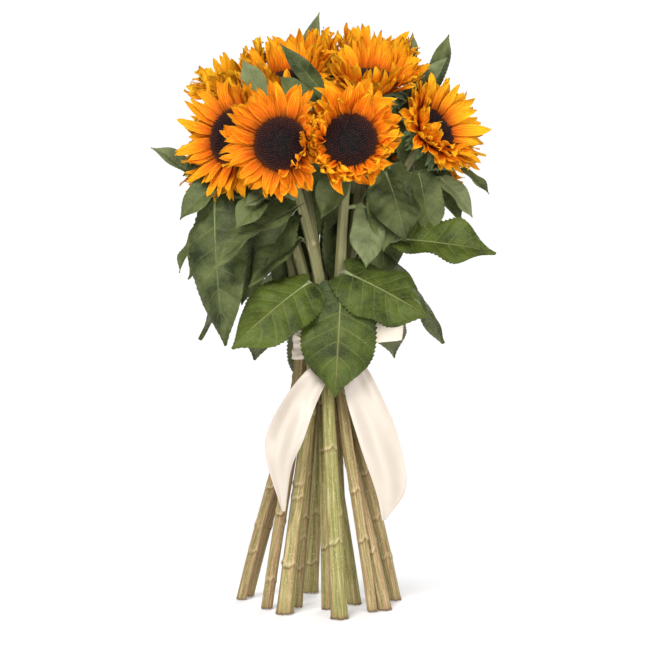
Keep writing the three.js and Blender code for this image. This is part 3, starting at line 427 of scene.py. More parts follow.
def make_piece(name, body, materials, slot, *stands_for):
    """Turns a body into an object that rides on the frame and may stand for solids."""
    mesh = bpy.data.meshes.new(name)
    points = np.concatenate(body.points) * MM + ORIGIN
    mesh.from_pydata(points, [], body.faces, shade_flat=False)
    mesh.polygons.foreach_set("material_index", body.slots)
    for label, values in (("detail", body.detail), ("grain", body.grain)):
        layer = mesh.attributes.new(label, "FLOAT_VECTOR", "POINT")
        layer.data.foreach_set("vector", np.concatenate(values).astype(np.float32).ravel())
    for material in materials:
        mesh.materials.append(material)
    piece = new_object(name, mesh)
    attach(piece, "root")
    if stands_for:
        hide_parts(*stands_for)
    return piece


# Materials


class Look:
    """A material, with short ways to add shader nodes and to link them."""

    def __init__(self, name, roughness, gloss=0.5, sheen=0.0):
        self.material = bpy.data.materials.new(name)
        self.material.use_nodes = True
        self.tree = self.material.node_tree
        self.shader = self.tree.nodes["Principled BSDF"]
        self.set(roughness, "Roughness")
        self.set(gloss, "Specular IOR Level")
        self.set(sheen, "Sheen Weight")

    def add(self, kind, **settings):
        node = self.tree.nodes.new(kind)
        for key, value in settings.items():
            setattr(node, key, value)
        return node

    def join(self, value, socket):
        """Gives a socket a number, a colour or the output of another node."""
        if isinstance(value, (int, float)):
            socket.default_value = value
        elif isinstance(value, tuple):
            socket.default_value = (*value, 1)
        else:
            self.tree.links.new(value, socket)

    def set(self, value, name):
        self.join(value, self.shader.inputs[name])

    def feed(self, node, **values):
        for name, value in values.items():
            self.join(value, node.inputs[name])

    def math(self, operation, a, b=0.0):
        node = self.add("ShaderNodeMath", operation=operation)
        self.join(a, node.inputs[0])
        self.join(b, node.inputs[1])
        return node.outputs[0]

    plus = partialmethod(math, "ADD")
    minus = partialmethod(math, "SUBTRACT")
    times = partialmethod(math, "MULTIPLY")
    power = partialmethod(math, "POWER")
    size = partialmethod(math, "ABSOLUTE")
    larger = partialmethod(math, "MAXIMUM")
    smaller = partialmethod(math, "MINIMUM")

    def mix(self, factor, first, second):
        node = self.add("ShaderNodeMix", data_type="RGBA")
        for name, value in (("Factor", factor), ("A", first), ("B", second)):
            self.join(value, [s for s in node.inputs if s.name == name and s.enabled][0])
        return [s for s in node.outputs if s.enabled][0]

    def ramp(self, value, stops):
        node = self.add("ShaderNodeValToRGB")
        elements = node.color_ramp.elements
        while len(elements) < len(stops):
            elements.new(0.5)
        for element, (position, color) in zip(elements, stops):
            element.position = position
            element.color = (*color, 1)
        self.feed(node, Fac=value)
        return node.outputs["Color"]

    def noise(self, vector, scale, detail=3.0, roughness=0.5):
        node = self.add("ShaderNodeTexNoise")
        self.feed(node, Vector=vector, Scale=scale, Detail=detail, Roughness=roughness)
        return node.outputs["Fac"]

    def attribute(self, name):
        return self.add("ShaderNodeAttribute", attribute_name=name).outputs["Vector"]

    def split(self, vector):
        node = self.add("ShaderNodeSeparateXYZ")
        self.feed(node, Vector=vector)
        return tuple(node.outputs)

    def combine(self, x, y, z):
        node = self.add("ShaderNodeCombineXYZ")
        self.feed(node, X=x, Y=y, Z=z)
        return node.outputs[0]

    def place(self, scale=(1, 1, 1)):
        """The place of a point on the piece, stretched along each axis."""
        mapping = self.add("ShaderNodeMapping")
        mapping.inputs["Scale"].default_value = scale
        self.feed(mapping, Vector=self.add("ShaderNodeTexCoord").outputs["Object"])
        return mapping.outputs["Vector"]

    def finish(self, color, relief=None, depth=0.0, strength=1.0):
        """Links the colour, and a relief where there is one, with its depth in metres."""
        self.set(color, "Base Color")
        if relief:
            bump = self.add("ShaderNodeBump")
            self.feed(bump, Height=relief, Distance=depth, Strength=strength)
            self.set(bump.outputs["Normal"], "Normal")
        return self.material


def petal_material():
    """Deep orange at the base and golden at the tip, with painted highlights on the ridges and edges,
    painted shade in the grooves, and painted shade at the root.
    """
    k = Look("petal", 0.6, 0.12)
    along, across, shade = k.split(k.attribute("detail"))
    tone, _, _ = k.split(k.attribute("grain"))
    # Both ramps run to near black at the root. That is partly the petal's own deep orange and partly
    # painted shade where the roots lie under the layers above and against the disc.
    golden = k.ramp(along, [
        (0.0, (0.08, 0.008, 0.002)), (0.12, (0.38, 0.038, 0.002)), (0.32, (0.88, 0.150, 0.002)),
        (0.62, (1.0, 0.32, 0.004)), (0.85, (1.0, 0.44, 0.008)), (1.0, (1.0, 0.60, 0.016)),
    ])
    orange = k.ramp(along, [
        (0.0, (0.07, 0.006, 0.002)), (0.15, (0.30, 0.028, 0.002)), (0.4, (0.76, 0.100, 0.002)),
        (0.72, (0.95, 0.195, 0.002)), (1.0, (1.0, 0.38, 0.007)),
    ])
    red = k.larger(tone, 0.0)
    late = k.times(k.times(along, along), -1.7)
    yellow = k.times(k.smaller(tone, 0.0), late)
    base = k.mix(yellow, k.mix(red, golden, orange), (1.0, 0.56, 0.013))
    streak_place = k.combine(k.times(across, 3.0), along, k.times(shade, 37.0))
    streak = k.noise(streak_place, 2.4, 4.0, 0.62)
    lines = k.math("SINE", k.plus(k.times(across, 21.0), k.times(streak, 7.0)))
    # Painted highlights and shade: the crests of the streaks and lines are mixed to a light gold, and the
    # grooves between them to a dark orange.
    crest = k.plus(k.times(lines, 0.3), k.minus(streak, 0.5))
    groove_shade = k.times(k.smaller(crest, 0.0), -0.9)
    groove_shaded = k.mix(groove_shade, base, (0.66, 0.075, 0.002))
    light = k.times(k.larger(crest, 0.0), k.plus(along, 0.2))
    lit = k.mix(k.times(light, 1.9), groove_shaded, (1.0, 0.58, 0.018))
    # Painted highlight: the edges turn a lighter gold towards the tip.
    edge = k.power(k.size(across), 5.0)
    edge_lit = k.mix(k.times(edge, k.times(along, 0.7)), lit, (1.0, 0.54, 0.018))
    toned = k.mix(k.times(shade, 0.3), edge_lit, (0.85, 0.15, 0.004))
    return k.finish(toned, k.plus(lines, k.times(streak, 2.0)), 0.0004, 0.8)


def floret_material():
    """Dark brown-purple florets, darker and greener in the middle, rusty at the rim."""
    k = Look("disc_florets", 0.9, 0.12)
    ring, tip, shade = k.split(k.attribute("detail"))
    ground = k.ramp(ring, [
        (0.0, (0.0075, 0.0090, 0.0100)), (0.42, (0.0060, 0.0068, 0.0080)),
        (0.55, (0.016, 0.0095, 0.0115)), (0.85, (0.030, 0.013, 0.012)),
        (1.0, (0.085, 0.020, 0.005)),
    ])
    return k.finish(k.mix(k.times(tip, k.times(shade, 0.35)), ground, (0.10, 0.032, 0.018)))


def leaf_material(name, dark, fresh, vein_color, vein_strength):
    """A leaf face: blotched green, with pale veins and a fine net between them."""
    k = Look(name, 0.5, 0.16)
    vein, side, shade = k.split(k.attribute("detail"))
    place = k.place()
    blotch = k.noise(place, 42.0, 4.0, 0.55)
    blotched = k.times(k.minus(blotch, 0.2), 1.9)
    # The detail's shade darkens the blade towards its base, a painted shade.
    tone = k.plus(blotched, k.times(shade, 0.35))
    ground = k.ramp(tone, [(0.35, dark), (1.0, fresh)])
    line = k.size(k.minus(k.math("FRACT", vein), 0.5))
    lateral = k.power(k.times(line, 2.0), 20.0)
    width = k.minus(1.0, k.size(side))
    midrib = k.power(width, 75.0)
    net = k.add("ShaderNodeTexVoronoi", feature="DISTANCE_TO_EDGE")
    net.inputs["Scale"].default_value = 330.0
    k.join(place, net.inputs["Vector"])
    mesh_line = k.math("LESS_THAN", net.outputs["Distance"], 0.07)
    fine = k.times(mesh_line, 0.07)
    fading = k.plus(k.times(width, 0.4), 0.12)
    strong = k.larger(midrib, k.times(lateral, fading))
    veins = k.larger(fine, k.times(strong, vein_strength))
    relief = k.minus(k.noise(place, 240.0, 3.0), k.times(veins, 1.2))
    return k.finish(k.mix(veins, ground, vein_color), relief, 0.0012, 0.8)


def stem_material():
    """Light green with tan ridges and long streaks, brown at the scars and the cut ends, with painted shade
    in the grooves and on the stems above the tie.
    """
    k = Look("stem", 0.6, 0.3)
    ridge, scar, tan = k.split(k.attribute("detail"))
    grain = k.attribute("grain")
    streaks = k.noise(grain, 1.1, 4.0, 0.65)
    speckle = k.noise(k.place((1, 1, 0.6)), 700.0, 2.0)
    patches = k.noise(grain, 0.16, 2.0)
    green = k.ramp(streaks, [
        (0.3, (0.126, 0.129, 0.03)), (0.5, (0.261, 0.252, 0.072)), (0.7, (0.413, 0.37, 0.157)),
    ])
    brown = k.ramp(streaks, [
        (0.3, (0.16, 0.09, 0.037)), (0.5, (0.352, 0.235, 0.109)), (0.7, (0.544, 0.409, 0.231)),
    ])
    share = k.plus(k.times(k.minus(patches, 0.5), 1.8), tan)
    ridged = k.plus(share, k.times(ridge, 0.7))
    mixed = k.mix(ridged, green, brown)
    # Painted shade: the grooves between the ridges are mixed towards a near-black green.
    groove_shade = k.times(k.smaller(ridge, 0.0), -0.45)
    mixed = k.mix(groove_shade, mixed, (0.07, 0.07, 0.02))
    specks = k.times(k.math("GREATER_THAN", speckle, 0.62), 0.35)
    dusty = k.mix(specks, mixed, (0.52, 0.50, 0.29))
    # Painted shade: above the tie the stems are mixed towards a dark olive, more so nearer the heads.
    young_shade = k.times(k.smaller(tan, 0.0), -1.2)
    young_shaded = k.mix(young_shade, dusty, (0.155, 0.150, 0.075))
    lip = k.times(k.smaller(scar, 0.0), -0.8)
    lipped = k.mix(lip, young_shaded, (0.66, 0.52, 0.33))
    scarred = k.mix(k.larger(scar, 0.0), lipped, (0.13, 0.055, 0.022))
    return k.finish(scarred, k.plus(streaks, k.times(ridge, 0.5)), 0.0007, 0.7)


def green_material(name, dark, fresh):
    """The hairy green of bracts, receptacles and leaf stalks."""
    k = Look(name, 0.7, sheen=0.3)
    fibres = k.noise(k.place((1, 1, 0.4)), 520.0, 3.0)
    return k.finish(k.ramp(fibres, [(0.3, dark), (0.7, fresh)]), fibres, 0.0004, 0.6)


def satin_material():
    """Cream satin with a very fine weave, painted lighter on the band and the bow, a painted light against
    the shade at the tie.
    """
    k = Look("cream_satin", 0.42, 0.4, 0.1)
    painted_light, _, _ = k.split(k.attribute("detail"))
    soft = k.noise(k.place(), 22.0, 2.0)
    cream = k.ramp(soft, [(0.3, (0.48, 0.42, 0.352)), (0.7, (0.53, 0.47, 0.40))])
    weave = k.noise(k.place((1, 1, 0.1)), 2600.0, 1.0)
    # Painted light: the band and the bow are mixed to a lighter cream to make up for the shade over them.
    return k.finish(k.mix(painted_light, cream, (0.82, 0.72, 0.60)), weave, 0.00006, 0.5)


def floor_material():
    """White paper that takes a soft shadow near the stems and glows white for the camera beyond."""
    k = Look("floor_white", 0.9, 0.0)
    k.set((1.0, 1.0, 1.0), "Emission Color")
    k.set(FLOOR_GLOW, "Emission Strength")
    distance = k.add("ShaderNodeVectorMath", operation="LENGTH")
    k.join(k.place(), distance.inputs[0])
    beyond = k.add("ShaderNodeMapRange", interpolation_type="SMOOTHSTEP")
    beyond.inputs["From Min"].default_value = SHADOW_START
    beyond.inputs["From Max"].default_value = SHADOW_END
    k.feed(beyond, Value=distance.outputs["Value"])
    seen = k.add("ShaderNodeLightPath").outputs["Is Camera Ray"]
    white = k.add("ShaderNodeEmission").outputs["Emission"]
    mixed = k.add("ShaderNodeMixShader")
    parts = (k.times(seen, beyond.outputs["Result"]), k.shader.outputs["BSDF"], white)
    for part, socket in zip(parts, mixed.inputs):
        k.join(part, socket)
    k.feed(k.tree.nodes["Material Output"], Surface=mixed.outputs["Shader"])
    return k.finish((0.80, 0.78, 0.78))


# Heads


def head_frame(flower):
    turn, lift = math.radians(flower.turn), math.radians(flower.lift)
    facing = np.array([math.sin(turn) * math.cos(lift), -math.cos(turn) * math.cos(lift), math.sin(lift)])
    across = unit(np.cross(UP, facing))
    return np.array([across, np.cross(facing, across), facing])


def in_head(flower, local):
    """Moves points from a head's own frame to the bunch."""
    return np.asarray(local) @ head_frame(flower) + np.array(flower.head, float)


def stem_curves(flower):
    """The Bezier points of a stem below and above the tie."""
    foot = np.array([*flower.foot, 0.0])
    waist = polar(flower.ring, math.radians(flower.slot), TIE_HEIGHT)
    facing = head_frame(flower)[2]
    back = np.array(flower.head) - facing * (RECEPTACLE_DEPTH - NECK_SEAT)
    neck = back - facing * NECK_REACH - UP * NECK_REACH * NECK_SAG
    leg = [foot, foot + (waist - foot) * LEG_STRAIGHT, waist - UP * HANDLE_UNDER_TIE, waist]
    rise = [waist, waist + UP * HANDLE_OVER_TIE, neck, back]
    return leg, rise


def stem_at(flower, height):
    line = bezier(stem_curves(flower)[1], np.linspace(0, 1, 400))
    return line[np.argmax(line[:, 2] >= height)]


def leaf_midrib(leaf):
    base, tip = np.array(leaf.base, float), np.array(leaf.tip, float)
    return [base, base + (tip - base) * 0.45 + unit(leaf.face) * leaf.arch, tip]


def leaf_profile(t):
    """Half the width of a leaf along its midrib, as a share of half its greatest width."""
    return np.interp(t, *LEAF_PROFILE)


def leaf_balls():
    """Balls along the upper leaves and their stalks, which the petals stay clear of."""
    centres, radii = [], []
    t = np.arange(1, 9) / 8
    for row in UPPER_LEAVES:
        leaf = Leaf(*row)
        joint = stem_at(FLOWERS[leaf.flower - 1], leaf.joint)
        centres += [joint + (np.array(leaf.base) - joint) * i / 4 for i in range(1, 5)]
        centres += list(bezier(leaf_midrib(leaf), t))
        radii += [SMALL_STALK + LEAF_MARGIN] * 4
        radii += list(LEAF_MARGIN + leaf_profile(t) * leaf.width * ROOM_WIDTH)
    return np.array(centres), np.array(radii)


def room_around(index):
    """The planes halfway to the other heads."""
    middles = [np.array(flower.head) + head_frame(flower)[2] * 2 for flower in FLOWERS]
    here = middles[index]
    normals, offsets = [], []
    for i, there in enumerate(middles):
        if i == index:
            continue
        normal = unit(there - here)
        for front, behind, lean, share in OVERLAPS:
            if {front, behind} == {index, i}:
                sign = -1 if front == index else 1
                normal = unit(normal + np.array(lean) * sign * share)
        normals.append(normal)
        offsets.append(normal @ ((here + there) / 2 - normal * HEAD_GAP))
    return np.array(normals), np.array(offsets)


def petal_line(root, lift, curl, length, steps):
    """How far out and how high the middle of a petal is at each step, for many petals at once."""
    u = np.linspace(0, 1, steps)
    bend = np.radians(lift[:, None] + curl * (u[1:] + u[:-1]) / 2)
    step = length[:, None] / (steps - 1)
    out = np.cumsum(np.hstack([np.full((len(lift), 1), root), np.cos(bend) * step]), axis=1)
    high = np.cumsum(np.hstack([np.zeros((len(lift), 1)), np.sin(bend) * step]), axis=1)
    return out, high


def clear_petal(flower, room, angle, petal, least):
    """Gives a petal the least change of bend and length that clears the other heads and the leaves."""
    normals, offsets, balls, radii = room
    most = max(MAX_LIFT, petal.lift)
    lifts, shares = np.meshgrid(np.arange(least, most + 1, LIFT_SEARCH), LENGTH_SHARES, indexing="ij")
    lifts, shares = lifts.ravel(), shares.ravel()
    out, high = petal_line(flower.disc, lifts, petal.curl, petal.length * shares, 6)
    local = polar(out, angle, high)[:, 1:]
    half = polar(petal.width * ROOM_WIDTH, angle + QUARTER_TURN, 0)
    points = in_head(flower, np.concatenate([local, local + half, local - half], axis=1))
    clear = np.all(points @ normals.T <= offsets, axis=(1, 2))
    if len(balls):
        gaps = np.linalg.norm(points[:, :, None, :] - balls, axis=-1)
        clear &= np.all(gaps > radii, axis=(1, 2))
    cost = np.abs(lifts - petal.lift) / DEGREES_PER_COST + (1 - shares) * LENGTH_COST
    cost[~clear] += 100
    best = int(np.argmin(cost))
    if clear[best]:
        petal.lift = lifts[best]
        petal.length *= shares[best]
    else:
        petal.lift = max(least, SQUEEZED_LIFT)
        petal.length = SQUEEZED_LENGTH


def petal_sheet(flower, angle, petal):
    """The points of one petal, and how far along and across it each of them is."""
    u = np.linspace(0, 1, PETAL_ROWS)
    v = np.linspace(-1, 1, PETAL_COLUMNS)
    tip_curl = petal.tip_curl * np.maximum(0, u - TIP_START) ** 2 / (1 - TIP_START) ** 2
    bend = np.radians(petal.lift + petal.curl * u + tip_curl)
    step = petal.length / (PETAL_ROWS - 1)
    out, high = bent_line(flower.disc + PETAL_ROOT - petal.inset, petal.root_z, bend, step)
    turn = angle + petal.sway * u**2
    middle = polar(out, turn, high)[:, None]
    aside = polar(1, turn + QUARTER_TURN, 0)
    normal = polar(-np.sin(bend), turn, np.cos(bend))
    twist = (petal.twist * u)[:, None]
    across = aside * np.cos(twist) + normal * np.sin(twist)
    normal = normal * np.cos(twist) - aside * np.sin(twist)
    half = (petal.width / 2 * np.interp(u, *PETAL_PROFILE))[:, None]
    grow = np.sin(np.pi * np.minimum(1, u * 1.1))[:, None]
    u = u[:, None]
    cup = petal.cup * half * v**2
    ridges = PETAL_RIDGES * grow * np.cos(3 * np.pi * v)
    crumple = petal.crumple * np.sin(9 * u + petal.phase + 2.2 * v) * np.abs(v) * u
    lift = cup + ridges + crumple
    points = middle + across[:, None] * (v * half)[..., None] + normal[:, None] * lift[..., None]
    return in_head(flower, points), spread(u, v, petal.shade)


def bent_line(root, height, bend, step):
    """How far out and how high each row of a petal or a bract lies."""
    out = root + running_sum(np.cos(bend[1:]) * step)
    return out, height + running_sum(np.sin(bend[1:]) * step)


def petal_wish(flower, angle, layer, draw):
    """A petal as it would grow with nothing in its way."""
    _, lift, root_z = PETAL_LAYERS[layer]
    drawn = {name: draw.uniform(*span) for name, span in PETAL_SPANS.items()}
    petal = SimpleNamespace(**drawn, root_z=root_z, inset=0.0)
    petal.lift += lift
    petal.length *= flower.petal
    petal.width *= PETAL_WIDTH
    petal.shade **= 2
    petal.tone = min(1, flower.tone + petal.tone)
    if flower.lift > UPRIGHT_HEAD:
        near = max(0.0, -math.sin(angle))
        petal.lift += UPRIGHT_EXTRA_LIFT + NEAR_SIDE_LIFT * near
        petal.length *= 1 - NEAR_SIDE_CUT * near
    if flower.short:
        side, share = flower.short
        near = max(0.0, math.cos(angle - math.radians(side))) ** 1.2
        petal.length *= 1 - share * near
        petal.crumple += 1.2 * near
        petal.tip_curl += draw.uniform(0, 70) * near
    if flower.style == "crumpled":
        crumple_petal(petal, angle, draw)
    if flower.style == "folded":
        fold_petal(petal, angle, layer, draw)
    petal.lift = min(petal.lift, MAX_FOLDED_LIFT)
    petal.length -= PETAL_ROOT
    return petal


def crumple_petal(petal, angle, draw):
    """Long at the top of the head, and short, broad and curled inwards round the rest."""
    top = max(0.0, math.cos(angle - math.radians(LONG_SIDE))) ** 1.2
    petal.length *= 0.68 + 0.46 * top
    petal.width *= 1.3 - 0.1 * top
    petal.lift += (1 - top) * draw.uniform(-8, 34)
    petal.tip_curl = draw.uniform(-30, 60) + (1 - top) * draw.uniform(20, 100)
    petal.twist *= 1.3
    petal.sway *= 2
    petal.cup += (1 - top) * draw.uniform(0.2, 0.7)
    petal.crumple += draw.uniform(0.4, 1.4)


def fold_petal(petal, angle, layer, draw):
    """Short and crumpled on the near side, and raised like a funnel on the far side."""
    side = math.cos(angle - math.radians(FOLDED_SIDE))
    near = max(0.0, side) ** 0.6
    far = max(0.0, -side) ** 0.7
    petal.lift += near * (16 + 11 * layer + draw.uniform(-12, 12)) + (1 - near) * draw.uniform(10, 20)
    petal.curl += near * draw.uniform(-14, 22)
    petal.tip_curl -= near * draw.uniform(0, 80)
    petal.crumple += near * draw.uniform(0.6, 2.2)
    petal.width *= 1 + 0.3 * near + 0.15 * far
    petal.length *= 0.94 - 0.2 * near - 0.14 * far
    petal.tone += 0.6 * near - 0.2 * far
    petal.inset = FUNNEL_INSET * far * layer / (len(PETAL_LAYERS) - 1)
    petal.length += petal.inset * 0.8
    petal.root_z += petal.inset * 0.4


def least_lift(share, behind):
    """How far a petal rises at least, so that it lies over the two petals behind it."""
    if not behind:
        return LEAST_LIFT
    place = int(share * len(behind))
    pair = [behind[place % len(behind)], behind[(place + 1) % len(behind)]]
    return min(max(pair) + LAYER_STEP, MAX_LIFT - LIFT_SEARCH)


def make_petals(index, material, balls, radii):
    flower = FLOWERS[index]
    draw = np.random.default_rng(PETAL_SEED + index)
    near = np.linalg.norm(balls - np.array(flower.head), axis=1) < flower.disc + flower.petal + NEARBY
    room = (*room_around(index), balls[near], radii[near])
    body = Body()
    behind = []
    for layer, (count, _, _) in enumerate(PETAL_LAYERS):
        lifts = []
        start = draw.uniform(0, 1)
        for i in range(count):
            share = (i + start + draw.uniform(-0.2, 0.2)) / count
            angle = 2 * math.pi * share
            petal = petal_wish(flower, angle, layer, draw)
            clear_petal(flower, room, angle, petal, least_lift(share, behind))
            lifts.append(petal.lift)
            body.grid(*petal_sheet(flower, angle, petal), grain=(petal.tone, 0, 0))
        behind = lifts
    make_piece(numbered("petals", index), body, [material], "petal", numbered("rays", index))


def dome_height(share):
    """How high the disc is at a share of its radius."""
    return DISC_RIM + (DISC_CROWN - DISC_RIM) * (1 - share**2)


def add_florets(body, flower, draw):
    """Florets on a dome, in the spiral order of a sunflower, short in the middle."""
    n = np.arange(1, FLORETS + 1)
    share = np.sqrt((n - 0.5) / FLORETS)
    angle = n * GOLDEN_ANGLE
    outer = np.clip((share - 0.42) / 0.15, 0, 1)
    tall = 1.1 + 1.9 * outer * (1 - 0.3 * share) + draw.uniform(-0.25, 0.25, FLORETS)
    lean = 0.5 * share + draw.uniform(-0.15, 0.15, FLORETS)
    out = polar(1, angle, 0)
    aside = polar(1, angle + QUARTER_TURN, 0)
    foot = polar(share * flower.disc, angle, dome_height(share))
    grow = unit(out * lean[:, None] + UP) * tall[:, None]
    side = full_turn(FLORET_SIDES)[:, None]
    circle = np.cos(side) * out[:, None] + np.sin(side) * aside[:, None]
    rings = [(foot + grow * height)[:, None] + circle * size for height, size in FLORET_LEVELS]
    rings = np.stack(rings, axis=1)
    shade = draw.uniform(0, 1, FLORETS)
    tips = np.repeat(FLORET_TIPS, FLORET_SIDES).reshape(-1, FLORET_SIDES)
    detail = spread(share[:, None, None], tips, shade[:, None, None])
    body.spikes(in_head(flower, rings), in_head(flower, foot + grow), detail, spread(share, 1.0, shade))


def make_disc(index, material):
    flower = FLOWERS[index]
    body = Body()
    add_florets(body, flower, np.random.default_rng(FLORET_SEED + index))
    shares = np.array([1.03, 1.0, 0.8, 0.6, 0.4, 0.2, 0.02])[:, None]
    heights = np.where(shares > 1, 0.2, dome_height(shares))
    points = polar(shares * flower.disc, full_turn(36), heights)
    body.grid(in_head(flower, points), spread(np.minimum(shares, 1), 0.0, 0.0), wrap=True)
    make_piece(numbered("florets", index), body, [material], "disc", numbered("disc", index))


# Stems


def tube_rings(line, radii, sides):
    """Rings of points round a line, with the same side turned the same way all along."""
    along = unit(np.gradient(line, axis=0))
    side = np.array([1.0, 0.0, 0.0])
    angle = full_turn(sides)[:, None]
    rings = []
    for point, forward, radius in zip(line, along, radii):
        side = unit(side - forward * (side @ forward))
        circle = np.cos(angle) * side + np.sin(angle) * np.cross(forward, side)
        rings.append(point + circle * np.broadcast_to(radius, (sides,))[:, None])
    return np.array(rings), along


def stem_line(flower):
    """The middle of a stem from its cut end to its head, and its radius there."""
    leg, rise = stem_curves(flower)
    low = np.linspace(0, 1, LEG_ROWS)
    high = np.linspace(0, 1, RISE_ROWS)
    line = np.vstack([bezier(leg, low), bezier(rise, high)[1:]])
    thick = np.concatenate([
        flower.cut + (WAIST_RADIUS - flower.cut) * np.sqrt(low),
        WAIST_RADIUS + (NECK_RADIUS - WAIST_RADIUS) * high[1:],
    ])
    return line, thick


def stem_scars(number, heights, angle, draw):
    """How dark each point is from a leaf scar, or how pale from its lip, and how far it swells."""
    scar = np.zeros((len(heights), len(angle)))
    swell = np.zeros_like(scar)
    grown = [(height, draw.uniform(0, 360)) for height in np.cumsum(draw.uniform(45, 95, 5))]
    for centre, way in SCARS.get(number, []) + grown:
        way = math.radians(way)
        facing = np.clip(0.35 + 0.8 * np.cos(angle - way), 0, 1)
        ragged = 1.6 * np.sin(angle * 3 + way) + 0.9 * np.sin(angle * 7 + 2 * way)
        rim = heights - centre - ragged
        swell += np.exp(-((rim / 2.4) ** 2)) * facing * SCAR_SWELL
        scar += np.exp(-(((rim + 2.2) / 1.3) ** 2)) * facing * draw.uniform(0.7, 1)
        scar -= np.exp(-((rim / 1.6) ** 2)) * facing * 0.6
    return scar, swell


def cut_level(rings, along, draw):
    """Cuts a stem nearly level with the floor, with a ragged edge."""
    ragged = draw.uniform(0.0, 1.8, rings.shape[1])
    slide = (ragged - rings[0, :, 2]) / along[0, 2]
    rings[0] += along[0] * slide[:, None]
    rings[0, :, 2] = np.maximum(rings[0, :, 2], 0)
    second = rings[1, :, 2] <= rings[0, :, 2] + 0.3
    rings[1, second] = rings[0, second] + along[1] * 0.5


def make_stem(index, stem_look, green_look):
    flower = FLOWERS[index]
    draw = np.random.default_rng(STEM_SEED + index)
    line, thick = stem_line(flower)
    heights = line[:, 2:]
    angle = full_turn(STALK_SIDES)
    ridge = np.zeros(STALK_SIDES)
    for half, share in STEM_RIDGES:
        ridge += share * (1 - 2 * np.abs(np.sin(angle * half + draw.uniform(0, 3))))
    ridge -= np.mean(ridge)
    scar, swell = stem_scars(index + 1, heights, angle, draw)
    radii = thick[:, None] * (1 + RIDGE_SHARE * ridge + swell + CUT_FLARE * np.exp(-heights / 5))
    rings, along = tube_rings(line, radii, STALK_SIDES)
    cut_level(rings, along, draw)
    tan = np.full(len(line), flower.tan, float)
    tan[LEG_ROWS:] = np.maximum(YOUNG_SHADE_TOP, flower.tan - np.arange(1, RISE_ROWS) * YOUNG_SHADE_STEP)
    scar = np.clip(scar + 0.7 * np.exp(-heights / 2.5), -1, 1)
    length = running_sum(np.linalg.norm(np.diff(line, axis=0), axis=1))
    grain = polar(WAIST_RADIUS, angle, length[:, None] * GRAIN_STRETCH + 50 * index)
    body = Body()
    tube = body.grid(rings, spread(ridge, scar, tan[:, None]), wrap=True, grain=grain)
    body.close_end(tube[0], line[0] + UP * 0.8, (0.3, 0.0, 0.9))
    add_receptacle(body, flower, draw)
    looks = [stem_look, green_look]
    make_piece(numbered("stalk", index), body, looks, "stem", numbered("stem", index))


def add_receptacle(body, flower, draw):
    """The green back of a head, with three rows of pointed bracts."""
    disc = flower.disc
    profile = np.array([
        (0.5, -1.1), (disc - 1.5, -1.1), (disc + 0.2, -2.2), (disc * 0.97, -5), (disc * 0.84, -9),
        (disc * 0.6, -12.4), (disc * 0.36, -15), (NECK_RADIUS * 1.15, -18), (NECK_RADIUS, -22),
    ])
    points = polar(profile[:, :1], full_turn(28), profile[:, 1:])
    body.grid(in_head(flower, points), slot=1, wrap=True, flip=True)
    for count, share, depth, length, lift in BRACT_ROWS:
        shift = draw.uniform(0, 1)
        for i in range(count):
            angle = 2 * math.pi * (i + shift + draw.uniform(-0.15, 0.15)) / count
            points = bract_sheet(angle, disc * share, depth, length, lift, draw)
            body.grid(in_head(flower, points), slot=1)


def bract_sheet(angle, root, depth, length, lift, draw):
    """The points of one bract, which bends back towards its tip."""
    u = np.linspace(0, 1, 7)
    v = np.linspace(-1, 1, 5)
    bend = np.radians(lift + draw.uniform(-10, 8) - (14 + draw.uniform(0, 40)) * u)
    step = length * draw.uniform(0.75, 1.1) / (len(u) - 1)
    out, groove_shaded = bent_line(root, depth, bend, step)
    half = (BRACT_HALF_WIDTH * np.interp(u, [0, 0.3, 0.6, 1], [0.95, 1, 0.6, 0.04]))[:, None]
    middle = polar(out, angle, groove_shaded)[:, None]
    aside = polar(1, angle + QUARTER_TURN, 0)
    return middle + aside * (v * half)[..., None] + UP * (0.25 * half * v**2)[..., None]


# Leaves


def blade_sheet(leaf, line, columns, draw, lobe_reach):
    """A blade's upper face with teeth, waves and sunk veins, its normals, and its detail."""
    rows = len(line)
    t = np.linspace(0, 1, rows)[:, None]
    v = np.linspace(-1, 1, columns)
    size = np.abs(v)
    notch = (np.arange(rows) % 2)[:, None]
    profile = leaf_profile(t)
    half = leaf.width / 2 * profile * (1 - TEETH_DEPTH * notch)
    length = np.linalg.norm(line[-1] - line[0])
    along = unit(np.gradient(line, axis=0))
    across = unit(np.cross(unit(leaf.face), along))
    normal = unit(np.cross(along, across))[:, None]
    lobe = lobe_reach * leaf.width * (1 - t) ** LOBE_POWER * np.minimum(1, profile / 0.45) * size**1.4
    forward = TEETH_LEAN * length * notch * (size > 0.95)
    veined = (t - VEIN_SLANT * size * leaf.width / length) * SIDE_VEINS + 0.5
    arc = np.sin(np.pi * t)
    pucker = PUCKER * np.abs(np.sin(np.pi * veined)) * size * (1 - size**4) * arc
    turns = 2 * np.pi * draw.uniform(1.4, 2.4)
    phase = np.where(v < 0, draw.uniform(0, 6), draw.uniform(0, 6))
    wave = WAVE * size**2.2 * np.sin(turns * t + phase) * arc**0.5
    turns = 2 * np.pi * draw.uniform(0.9, 1.6)
    swell = SWELL * np.sin(turns * t + draw.uniform(0, 6) + 1.8 * v) * arc * size**0.5
    fold = math.radians(leaf.fold)
    bent = leaf.width * (pucker + wave + swell - DROOP * size**2 * t)
    lift = half * size**1.15 * math.sin(fold) + bent
    points = (
        line[:, None]
        + across[:, None] * (v * half * math.cos(fold))[..., None]
        + along[:, None] * (forward - lobe)[..., None]
        + normal * lift[..., None]
    )
    # Painted shade: the blade is darker towards its base, which lies in shade inside the bunch, with a
    # random shift for each leaf.
    shade = np.clip(0.35 + 0.5 * t + draw.uniform(-0.3, 0.3), 0, 1)
    return points, normal, spread(veined, v, shade)


